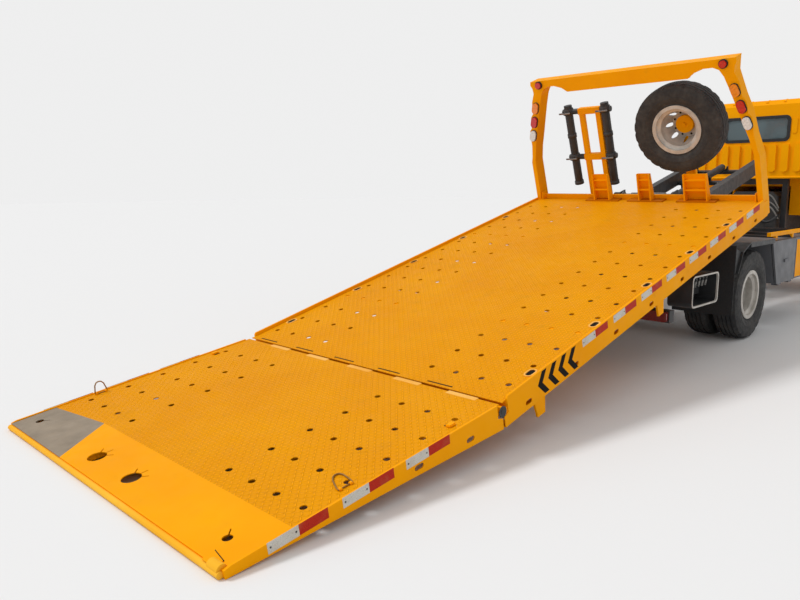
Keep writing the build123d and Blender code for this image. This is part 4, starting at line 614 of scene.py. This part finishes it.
def tip_sleeve():
    """The collar round the tail's tip bar near its right corner, with the strap that holds it."""
    bar_x = TAIL_TIP + 0.0042
    bar_z = TAIL_TOP - 0.0078
    collar = [((bar_x, -1.128, bar_z), (bar_x, -1.058, bar_z), 0.024)]
    # The collar takes the same paler yellow: painted highlight
    seat(rods("tip_collar", collar, tail_plane, 32), bar_highlight, "tail")
    strap = [(-0.012, -1.098), (0.030, -1.098), (0.048, -1.006), (0.040, -0.998), (-0.012, -1.020)]
    outline = [(TAIL_TIP + x, y) for x, y in strap]
    strap_plate = plate("tip_strap", outline, [], 0.004, raised(tail_top_plane, 0.005), 0.001)
    seat(strap_plate, yellow_smooth, "tail")
    # The gap between the strap and the plate is a flat black sheet: painted shade
    gap = [(0.048, -1.008), (0.054, -1.004), (0.036, -1.098), (0.030, -1.098)]
    painted_shade_mark("tip_strap_gap", [(TAIL_TIP + x, y) for x, y in gap])


# Tie-down pockets beside the deck's rails, and the lugs in line with them on the tail
FIRST_TIE_DOWN = SEAM + 0.352
TIE_DOWN_PITCH = 0.70
TIE_DOWN_V = 1.088
LUG_V = 1.085


def tie_down(name, x, y):
    """A tie-down pocket in the deck: a raised rim round a slot drawn as a flat black sheet of painted
    shade.
    """
    edge = stadium(x, y, 0.092, 0.056)
    opening = stadium(x, y, 0.074, 0.038)
    rim = plate(name + "_rim", edge, [opening], 0.004, raised(deck_plane, 0.004), 0.001)
    seat(rim, pale_worn, "deck")
    # The slot is a flat black sheet: painted shade inside the pocket
    slot = plate(name + "_slot", stadium(x, y, 0.070, 0.034), [], 0.0015, raised(deck_plane, 0.0012))
    seat(slot, black_print_and_shade, "deck")


def tie_downs():
    """Five tie-down pockets and a slotted lug on each side."""
    for side, label in SIDES:
        for index in range(5):
            x = FIRST_TIE_DOWN + index * TIE_DOWN_PITCH
            tie_down(f"deck_tie_{label}_{index}", x, side * TIE_DOWN_V)
        middle = side * LUG_V
        lug = [((-0.360, middle - 0.016, 0.0), (-0.312, middle + 0.016, 0.013))]
        seat(blocks("tail_lug_" + label, lug, tail_top_plane, 0.004), yellow, "tail")
        # The lug's slot is a flat black sheet: painted shade
        painted_shade_mark("tail_lug_slot_" + label, stadium(-0.336, side * 1.060, 0.040, 0.010))


# Two tie rings of bent wire on the tail, and the middles of their feet: one lies flat, one stands
RING_WIRE = 0.004
FLAT_FOOT = (-1.022, -1.082)
UPRIGHT_FOOT = (-1.140, 1.112)
# Half of a ring, which has a straight foot and an arch
HALF_RING = (
    # distance along the foot, reach from it
    (0.040, 0.0),
    (0.041, 0.022),
    (0.031, 0.085),
    (0.018, 0.108),
    (0.006, 0.114),
)
RING = HALF_RING + tuple((-along, reach) for along, reach in reversed(HALF_RING))


def tail_rings():
    """The flat ring on the right, the upright one on the left and the blocks that hold their feet."""
    x, y = FLAT_FOOT
    flat = [(x + along + 0.35 * reach, y + 0.98 * reach, RING_WIRE * 1.2) for along, reach in RING]
    x, y = UPRIGHT_FOOT
    upright = [(x + 0.9 * along, y + 0.1 * reach, 0.003 + 0.62 * reach) for along, reach in RING]
    for name, points in (("tail_ring_right", flat), ("tail_ring_left", upright)):
        ring = pipe(name, points, RING_WIRE, tail_top_plane, closed=True)
        seat(ring, ring_paint, "tail", True)
    feet = []
    for x, y in (FLAT_FOOT, UPRIGHT_FOOT):
        for along in (-0.030, 0.030):
            feet.append(((x + along - 0.008, y - 0.010, 0.0), (x + along + 0.008, y + 0.010, 0.011)))
    seat(blocks("tail_ring_feet", feet, tail_top_plane, 0.003), yellow, "tail")


# Reflective tape along the side rails, in pairs of a white and a red strip, the white one with studs
TAPE_HALF_HEIGHT = 0.024
TAPE_LENGTH = 0.150
TAPE_DEPTH = 0.0006
STUD_INSET = 0.014
STUD_RADIUS = 0.0045
STUD_DEPTH = 0.0014
TAPE_RUNS = (
    # body, where the first pair starts, pitch, pairs, height, plane
    ("tail", -1.478, 0.378, 3, 0.030, tail_plane),
    ("deck", SEAM + 0.800, 0.374, 8, DECK_TOP - 0.008, tilt_plane),
)


def strips(name, spans, height, plane, body, shader):
    """Thin strips stuck on both side rails, each from one x to another."""
    corners = []
    for start, end in spans:
        for side in (-1, 1):
            near = side * HALF_DECK
            far = side * (HALF_DECK + TAPE_DEPTH)
            low = (start, min(near, far), height - TAPE_HALF_HEIGHT)
            corners.append((low, (end, max(near, far), height + TAPE_HALF_HEIGHT)))
    seat(blocks(name, corners, plane), shader, body)


def tapes():
    """White and red strips with their studs, on the tail's rails and then on the deck's."""
    for body, first, pitch, pairs, height, plane in TAPE_RUNS:
        starts = [first + pair * pitch for pair in range(pairs)]
        white = [(start, start + TAPE_LENGTH) for start in starts]
        red = [(start + TAPE_LENGTH, start + 2 * TAPE_LENGTH) for start in starts]
        strips(body + "_white_tape", white, height, plane, body, white_tape)
        strips(body + "_red_tape", red, height, plane, body, red_tape)
        studs = []
        for start in starts:
            for x in (start + STUD_INSET, start + TAPE_LENGTH - STUD_INSET):
                for side in (-1, 1):
                    foot = (x, side * HALF_DECK, height)
                    end = (x, side * (HALF_DECK + STUD_DEPTH), height)
                    studs.append((foot, end, STUD_RADIUS))
        seat(rods(body + "_tape_studs", studs, plane, 8), cast_iron, body)


# Black arrows on the side rails: the first one's tip, their pitch, depth and outline, x from the tip
FIRST_ARROW = SEAM + 0.320
ARROW_PITCH = 0.103
ARROW_DEPTH = 0.0008
ARROW = ((0.052, 0.294), (0.097, 0.294), (0.046, 0.227), (0.102, 0.156), (0.058, 0.156), (0.0, 0.227))


def arrows():
    """Four black arrows on each side rail by the seam, pointing to the tail."""
    for label, facing, ahead in (("left", FACE_LEFT, -1), ("right", FACE_RIGHT, 1)):
        side = Matrix.Translation((0, -ahead * (HALF_DECK + ARROW_DEPTH), 0))
        for index in range(4):
            start = FIRST_ARROW + index * ARROW_PITCH
            outline = [(ahead * (start + x), height) for x, height in ARROW]
            mark = plate(f"arrow_{label}_{index}", outline, [], ARROW_DEPTH, tilt_plane @ side @ facing)
            seat(mark, black_print_and_shade, "deck")


# Wheels. A wheel's own frame has its axle along z, z outwards
DUAL_SPACING = 0.268
TYRE_HALF = 0.1053
TYRE_STEPS = 96
# Sideways swing of the grooves, as a share of the half width, and depth of the shoulder's notches
TREAD_WAVE = 0.018
NOTCH_DEPTH = 0.008
HALF_PROFILE = (
    # share of the half width, radius, how it changes round the tyre
    (0.72, 0.209, "even"),
    (0.77, 0.225, "even"),
    (0.83, 0.231, "even"),
    (0.82, 0.238, "even"),
    (0.93, 0.262, "even"),
    (0.985, 0.286, "even"),
    (1.0, 0.295, "even"),
    (0.985, 0.299, "even"),
    (0.995, 0.326, "even"),
    (0.98, 0.352, "even"),
    (0.955, 0.366, "lug"),
    (0.90, 0.391, "lug"),
    (0.72, 0.3985, "lug"),
    (0.56, 0.4015, "zigzag"),
    (0.55, 0.391, "zigzag"),
    (0.48, 0.391, "zigzag"),
    (0.47, 0.403, "zigzag"),
    (0.20, 0.404, "zigzag"),
    (0.19, 0.393, "zigzag"),
    (0.13, 0.393, "zigzag"),
    (0.12, 0.404, "zigzag"),
)


def tyre(name, middles, plane, body, cad_node):
    """Tyres with grooves, shoulder lugs and moulded sidewalls, one at each place along the axle."""
    mirrored = [(-share, radius, kind) for share, radius, kind in reversed(HALF_PROFILE)]
    profile = list(HALF_PROFILE) + mirrored
    work = bmesh.new()
    for middle in middles:
        rings = []
        for step in range(TYRE_STEPS):
            angle = 2 * pi * step / TYRE_STEPS
            ring = []
            for share, radius, kind in profile:
                wave = TREAD_WAVE * (1 if step % 4 < 2 else -1) if kind == "zigzag" else 0
                low = NOTCH_DEPTH if kind == "lug" and step % 4 == 0 else 0
                reach = radius - low
                spot = (reach * cos(angle), reach * sin(angle), middle + (share + wave) * TYRE_HALF)
                ring.append(work.verts.new(spot))
            rings.append(ring)
        for here, after in zip(rings, rings[1:] + rings[:1]):
            for index in range(len(profile)):
                other = (index + 1) % len(profile)
                work.faces.new((here[index], after[index], after[other], here[other]))
    made = from_bmesh(name, work, plane)
    seat(made, tyre_rubber, body)
    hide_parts(cad_node)


def wheel_plane(centre, side):
    """The frame of a wheel whose outward side is +Y (side 1) or -Y (side -1)."""
    return Matrix.Translation(centre) @ Matrix.Rotation(-side * pi / 2, 4, "X")


# Nuts and bolts of the wheels, their feet counted outward from the outer tyre's middle
NUT_CIRCLE = 0.108
NUT_SETS = (
    # name, axle, count, radius of their circle, foot, height, radius
    ("front_nuts_", "front", 8, NUT_CIRCLE, 0.133, 0.028, 0.016),
    ("rear_nuts_", "rear", 8, NUT_CIRCLE, -0.127, 0.034, 0.016),
    ("front_cap_bolts_", "front", 6, 0.048, 0.163, 0.007, 0.008),
    ("rear_cap_bolts_", "rear", 8, 0.062, -0.017, 0.008, 0.008),
)


def nuts(name, count, away, foot, height, radius, plane, body, shader):
    """Wheel nuts with the ends of their studs, on a circle."""
    spans = []
    for index in range(count):
        angle = 2 * pi * (index + 0.5) / count
        x = away * cos(angle)
        y = away * sin(angle)
        spans.append(((x, y, foot), (x, y, foot + height * 0.65), radius))
        spans.append(((x, y, foot), (x, y, foot + height), radius * 0.55))
    seat(rods(name, spans, plane, 6), shader, body)


def wheels():
    """Treaded tyres, wheel nuts and hub cap bolts, which roll with their wheels."""
    for label, side in (("left", 1), ("right", -1)):
        front = wheel_plane(joints["roll_front_" + label]["pos_m"], side)
        rear = wheel_plane(joints["roll_rear_" + label]["pos_m"], side)
        axles = {"front": (front, "wheel_front_" + label), "rear": (rear, "wheels_rear_" + label)}
        tyre("front_tyre_" + label, (0,), *axles["front"], "tyre_front_" + label)
        tyre("rear_tyres_" + label, (0, -DUAL_SPACING), *axles["rear"], "tyres_rear_" + label)
        for name, axle, *sizes in NUT_SETS:
            nuts(name + label, *sizes, *axles[axle], steel)


# The spare wheel's middle, from the headboard's foot: forward, left and up
SPARE_MIDDLE = (0.062, -0.420, 0.665)


def spare():
    """The spare wheel's treaded tyre and its stud holes, drawn as thin black discs of painted shade, ahead
    of the headboard and right of its middle.
    """
    place = head_plane @ Matrix.Translation(SPARE_MIDDLE) @ FACE_REAR
    tyre("spare_tyre_treaded", (0,), place, "deck", "spare_tyre")
    # Stud holes drawn as thin black discs: painted shade
    nuts("spare_stud_holes", 8, NUT_CIRCLE, -0.1262, 0.0012, 0.011, place, "deck", black_print_and_shade)


# Headboard lamps: oval ones down each post and a round one at each corner
LAMPS = (
    # distance from the middle, height up the headboard, lens
    (0.970, 0.987, "amber"),
    (1.012, 0.847, "red"),
    (1.052, 0.708, "white"),
)
LENSES = {"amber": amber_lens, "red": red_lens, "white": clear_lens}
LAMP_LEAN = 18
CORNER_LAMP = (0.890, 1.210)
HEAD_REAR = -0.080


def head_lamps():
    """Each lamp's rubber rim and lens, on the headboard's rear face."""
    face = head_plane @ Matrix.Translation((HEAD_REAR, 0, 0)) @ FACE_REAR
    for side, label in SIDES:
        for v, height, kind in LAMPS:
            turn = radians(90 - LAMP_LEAN * side)
            spot = (-side * v, height)
            rim = stadium(*spot, 0.118, 0.072, turn)
            bezel = plate(f"bezel_{kind}_{label}", rim, [], 0.010, raised(face, 0.0103), 0.003)
            seat(bezel, trim_rubber, "deck")
            inside = stadium(*spot, 0.108, 0.062, turn)
            cover = plate(f"lens_{kind}_{label}", inside, [], 0.024, raised(face, 0.028), 0.009)
            seat(cover, LENSES[kind], "deck", True)
            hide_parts("headboard_lamps")
        v, height = CORNER_LAMP
        place = (-side * v, height)
        rim = circle(*place, 0.038, count=24)
        corner = plate(f"corner_lamp_{label}", rim, [], 0.016, raised(face, 0.0163), 0.004)
        seat(corner, trim_rubber, "deck")
        inside = circle(*place, 0.030, count=24)
        cover = plate(f"corner_lens_{label}", inside, [], 0.016, raised(face, 0.030), 0.006)
        seat(cover, red_lens, "deck", True)


# The stowed arms ahead of the headboard, their two places across and their clamps' heights
ARMS_AHEAD = 0.150
ARM_COLUMNS = (0.345, 0.750)
CLAMP_HEIGHTS = (0.395, 0.868)
# How far the posts' gussets stand from the middle
GUSSET_V = 1.0815


def headboard_details():
    """Gussets at the posts' feet, and the clamps and handles of the stowed arms."""
    half = 0.0055
    gussets = [((0.868, v - half, 0.0), (0.945, v + half, 0.078)) for v in (-GUSSET_V, GUSSET_V)]
    seat(blocks("post_gussets", gussets, deck_plane, 0.002), yellow, "deck")
    clamps = []
    handles = []
    for v in ARM_COLUMNS:
        for height in CLAMP_HEIGHTS:
            clamps.append(((ARMS_AHEAD, v, height - 0.030), (ARMS_AHEAD, v, height + 0.030), 0.050))
            clamps.append(((ARMS_AHEAD, v, height), (0.064, v, height), 0.016))
            handles.append(((0.070, v - 0.060, height), (0.070, v + 0.060, height), 0.009))
        clamps.append(((ARMS_AHEAD, v, 0.100), (ARMS_AHEAD, v, 0.135), 0.047))
        clamps.append(((ARMS_AHEAD, v, 0.600), (ARMS_AHEAD, v, 0.640), 0.046))
    seat(rods("arm_clamps", clamps, head_plane, 20), cast_iron, "deck", True)
    seat(rods("arm_handles", handles, head_plane, 8), steel, "deck", True)


def box_of(name):
    """The lowest and the highest corner of a CAD node."""
    spots = [nodes[name].matrix_world @ Vector(corner) for corner in nodes[name].bound_box]
    low = [min(spot[axis] for spot in spots) for axis in range(3)]
    return low, [max(spot[axis] for spot in spots) for axis in range(3)]


def grown(points, factor):
    """An outline scaled about its middle."""
    middle = [sum(point[axis] for point in points) / len(points) for axis in range(2)]
    return [tuple(m + (c - m) * factor for m, c in zip(middle, point)) for point in points]


# Cab: ribs pressed into the rear wall and the roof, window rubbers, handles and wipers
RIB_PITCH = 0.143


def cab_rear():
    """Ribs beside and below the rear window, its rubber and the lip at the wall's foot."""
    half = 0.043
    for index in range(12):
        y = (index - 5.5) * RIB_PITCH
        outline = rounded(y - half, y + half, 0.083, 0.424, 0.038)
        rib = plate(f"rear_rib_{index}", outline, [], 0.021, raised(rear_wall, 0.0212), 0.009)
        seat(rib, yellow, "chassis", True)
    face = raised(rear_wall, 0.008)
    half = 0.030
    for side in (-1, 1):
        for index in range(3):
            y = side * (0.440 + index * RIB_PITCH)
            outline = rounded(y - half, y + half, 0.545, 0.735, 0.026)
            rib = plate(f"upper_rib_{side + 1}_{index}", outline, [], 0.016, face, 0.005)
            seat(rib, yellow, "chassis", True)
    outer = rounded(-0.395, 0.395, 0.452, 0.768, 0.060)
    inner = rounded(-0.358, 0.358, 0.489, 0.731, 0.036)
    ring = plate("rear_window_rubber", outer, [inner], 0.014, raised(rear_wall, 0.009), 0.004)
    seat(ring, trim_rubber, "chassis", True)
    lip = [(CAB_REAR, y, 1.474) for y in (-1, 0, 1)]
    seat(pipe("cab_rear_lip", lip, 0.012), yellow, "chassis", True)


def roof_beads():
    """Beads along the roof, each sunk a little into the roof found below a few points."""
    shell = nodes["cab_shell"]
    over_roof = 4.0
    sunk = 0.009
    for index in range(8):
        y = (index - 3.5) * 0.200
        points = []
        for x in (3.262, 3.30, 3.40, 3.70, 4.10, 4.50, 4.68):
            found = shell.ray_cast(Vector((x, y, over_roof)), Vector((0, 0, -1)))
            points.append((x, y, found[1].z - sunk))
        seat(pipe(f"roof_bead_{index}", points, 0.020), yellow, "chassis", True)


# Outline of a door's window: x forward, height over the waist
DOOR_WINDOW = ((3.868, 0.040), (4.890, 0.040), (4.890, 0.080), (4.710, 0.673), (3.868, 0.673))


def cab_sides():
    """The rubber round each door's window, and the door's handle in its cup."""
    for label, side in (("left", -1), ("right", 1)):
        wall = SIDE_WALLS[label]
        outline = [(side * x, height) for x, height in DOOR_WINDOW]
        opening = [grown(outline, 0.962)]
        edge = grown(outline, 1.022)
        ring = plate(f"door_rubber_{label}", edge, opening, 0.010, raised(wall, 0.004), 0.003)
        seat(ring, trim_rubber, "door_" + label, True)
        panel = Matrix.Translation((0, -side * CAB_HALF, 0)) @ (FACE_RIGHT if side == 1 else FACE_LEFT)
        handle_x = side * 3.905
        cup_edge = stadium(handle_x, 1.470, 0.170, 0.062)
        cup = plate(f"handle_cup_{label}", cup_edge, [], 0.004, raised(panel, 0.003), 0.001)
        seat(cup, trim_rubber, "door_" + label)
        grip_edge = stadium(handle_x, 1.476, 0.150, 0.026)
        grip = plate(f"handle_grip_{label}", grip_edge, [], 0.010, raised(panel, 0.014), 0.003)
        seat(grip, black_plastic, "door_" + label, True)


def cab_front():
    """The windscreen's rubber, its two wipers and the grille's slats."""
    outer = rounded(-0.918, 0.918, 0.036, 0.836, 0.090)
    inner = rounded(-0.872, 0.872, 0.082, 0.792, 0.060)
    ring = plate("windscreen_rubber", outer, [inner], 0.014, raised(screen_plane, 0.006), 0.004)
    seat(ring, trim_rubber, "chassis", True)
    arms = []
    blades = []
    for foot, tip in ((-0.55, -0.12), (0.25, 0.68)):
        arms.append(((foot, 0.030, 0.020), (tip, 0.330, 0.024), 0.006))
        blades.append(((tip - 0.27, 0.230, 0.016), (tip + 0.17, 0.390, 0.016), 0.008))
    seat(rods("wiper_arms", arms, screen_plane, 8), black_plastic, "chassis")
    seat(rods("wiper_blades", blades, screen_plane, 6), trim_rubber, "chassis")
    low, high = box_of("grille")
    slats = []
    for index in range(5):
        z = low[2] + (index + 0.7) * (high[2] - low[2]) / 5.4
        slats.append(((high[0] - 0.004, low[1] + 0.03, z), (high[0] + 0.006, high[1] - 0.03, z + 0.016)))
    seat(blocks("grille_slats", slats, GROUND, 0.003), black_plastic, "chassis")


def rail_bolts():
    """Hexagon bolt heads in a zigzag row on the outside of each chassis rail."""
    rail_face = 0.4225
    first = 0.95
    pitch = 0.09
    for side, label, facing in ((1, "right", FACE_RIGHT), (-1, "left", FACE_LEFT)):
        face = Matrix.Translation((0, -side * rail_face, 0)) @ facing
        heads = []
        for index in range(24):
            x = side * (first + pitch * index)
            y = 0.79 + 0.03 * (index % 2)
            heads.append(((x, y, -0.002), (x, y, 0.009), 0.011))
        seat(rods("rail_bolts_" + label, heads, face, 6), chassis_black, "chassis")


def chassis_lines():
    """Air and brake lines that run along the rails, inside them."""
    runs = (
        # name, y, heights along the run, radius
        ("brake_line", 0.360, (0.73, 0.70, 0.72, 0.74), 0.008),
        ("air_line_upper", -0.360, (0.74, 0.71, 0.72, 0.75), 0.010),
        ("air_line_lower", -0.350, (0.70, 0.67, 0.69, 0.72), 0.007),
    )
    for name, y, heights, radius in runs:
        points = [(x, y, height) for x, height in zip((1.1, 1.95, 2.85, 3.3), heights)]
        seat(pipe(name, points, radius), hose, "chassis", True)


def control_box_details():
    """The control box's pale rim, the knobs of its levers and the back wall behind them."""
    box_face = 1.088
    first_lever = -1.0274
    lever_pitch = 0.066
    rim_face = Matrix.Translation((0, -box_face, 0)) @ FACE_RIGHT
    outer = rounded(-1.1124, -0.6124, 0.458, 0.705, 0.040)
    inner = rounded(-1.100, -0.625, 0.4705, 0.6925, 0.030)
    rim = plate("control_box_rim", outer, [inner], 0.014, raised(rim_face, 0.004), 0.003)
    seat(rim, rim_paint, "chassis", True)
    knobs = []
    for lever in range(6):
        x = first_lever + lever * lever_pitch
        knobs.append(((x, -1.016, 0.596), (x, -1.026, 0.668), 0.009))
    seat(rods("lever_knobs", knobs, GROUND, 10), pale_grey_and_highlight, "chassis", True)
    back = [((-1.100, -0.904, 0.470), (-0.625, -0.902, 0.690))]
    seat(blocks("control_box_back", back), box_inside, "chassis")


def behind_cab():
    """Hoses that leave the engine's rear and return to it, the pale grey of the upper ones a painted
    highlight, and the painted panel on the side box.
    """
    loops = (
        # name, height, sag, radius, material
        ("hose_high", 1.200, 0.060, 0.009, pale_grey_and_highlight),
        ("hose_second", 1.130, 0.040, 0.008, pale_grey_and_highlight),
        ("hose_mid", 1.060, 0.055, 0.010, pale_grey_and_highlight),
        ("hose_low", 0.950, -0.030, 0.016, hose),
    )
    engine_rear = 3.320
    for name, height, sag, radius, shader in loops:
        start = (engine_rear, -0.06, height - sag)
        end = (engine_rear, -0.305, height - 1.8 * sag)
        middle = [(3.255, -0.15, height + sag), (3.250, -0.25, height + sag)]
        seat(pipe(name, [start, *middle, end], radius), shader, "chassis", True)
    low, high = box_of("side_box_right")
    near = (low[0] + 0.016, low[1] - 0.0012, low[2] + 0.020)
    far = (high[0] - 0.016, low[1] + 0.001, high[2] - 0.020)
    seat(blocks("side_box_panel", [(near, far)], GROUND, 0.0008), yellow, "chassis")


def winch_cable():
    """Turns of wire rope on the drum."""
    low, high = box_of("winch_drum")
    middle = Vector([(a + b) / 2 for a, b in zip(low, high)])
    half_length = 0.175
    coil = 0.048
    turns = 24
    per_turn = 10
    points = []
    for step in range(turns * per_turn + 1):
        angle = 2 * pi * step / per_turn
        y = middle.y - half_length + 2 * half_length * step / (turns * per_turn)
        points.append((middle.x + coil * cos(angle), y, middle.z + coil * sin(angle)))
    seat(pipe("winch_rope", points, 0.0068), steel, "winch_drum", True)


def studio():
    """Pale floor and backdrop, soft light from all round and a broad key light."""
    floor_shader = Shader("floor")
    floor_shader.surface(Base_Color=(0.80, 0.80, 0.80), Roughness=0.9)
    outline = rectangle(-60, 60, -60, 60)
    floor = plate("floor", outline, [], 0.01, Matrix.Translation((0, 0, -0.001)))
    floor.data.materials.append(floor_shader.material)
    world = bpy.data.worlds.new("studio")
    world.use_nodes = True
    bpy.context.scene.world = world
    tree = world.node_tree
    light = tree.nodes["Background"]
    light.inputs["Color"].default_value = (1, 1, 1, 1)
    light.inputs["Strength"].default_value = 0.68
    seen = tree.nodes.new("ShaderNodeBackground")
    seen.inputs["Color"].default_value = (0.86, 0.86, 0.86, 1)
    path = tree.nodes.new("ShaderNodeLightPath")
    choice = tree.nodes.new("ShaderNodeMixShader")
    tree.links.new(path.outputs["Is Camera Ray"], choice.inputs[0])
    tree.links.new(light.outputs[0], choice.inputs[1])
    tree.links.new(seen.outputs[0], choice.inputs[2])
    tree.links.new(choice.outputs[0], tree.nodes["World Output"].inputs["Surface"])
    sun = bpy.data.lights.new("key", "SUN")
    sun.energy = 1.6
    sun.angle = radians(16)
    key = bpy.data.objects.new("key", sun)
    key.rotation_euler = Vector((0.35, -0.50, -0.79)).to_track_quat("-Z", "Y").to_euler()
    bpy.context.collection.objects.link(key)


def camera():
    """The photo's view: from behind and to the right, low, looking forward and left."""
    eye = (-6.44, -3.25, 1.395)
    yaw = radians(44.69)
    pitch = radians(-9.20)
    roll = radians(-0.17)
    ahead = Vector((cos(pitch) * cos(yaw), cos(pitch) * sin(yaw), sin(pitch)))
    right = Vector((sin(yaw), -cos(yaw), 0))
    above = right.cross(ahead)
    turned = Matrix((right, above, -ahead)).transposed().to_4x4() @ Matrix.Rotation(roll, 4, "Z")
    data = bpy.data.cameras.new("photo")
    data.lens = 31.95
    data.sensor_width = 36.0
    data.clip_end = 300
    view = bpy.data.objects.new("photo", data)
    view.matrix_world = Matrix.Translation(eye) @ turned
    bpy.context.collection.objects.link(view)
    scene = bpy.context.scene
    scene.camera = view
    scene.view_settings.view_transform = "Standard"


dress_frame()
deck_plate()
tail_plates()
seam()
tip_sleeve()
tie_downs()
tail_rings()
tapes()
arrows()
wheels()
spare()
head_lamps()
cab_rear()
roof_beads()
cab_sides()
cab_front()
headboard_details()
rail_bolts()
chassis_lines()
control_box_details()
behind_cab()
winch_cable()
studio()
camera()
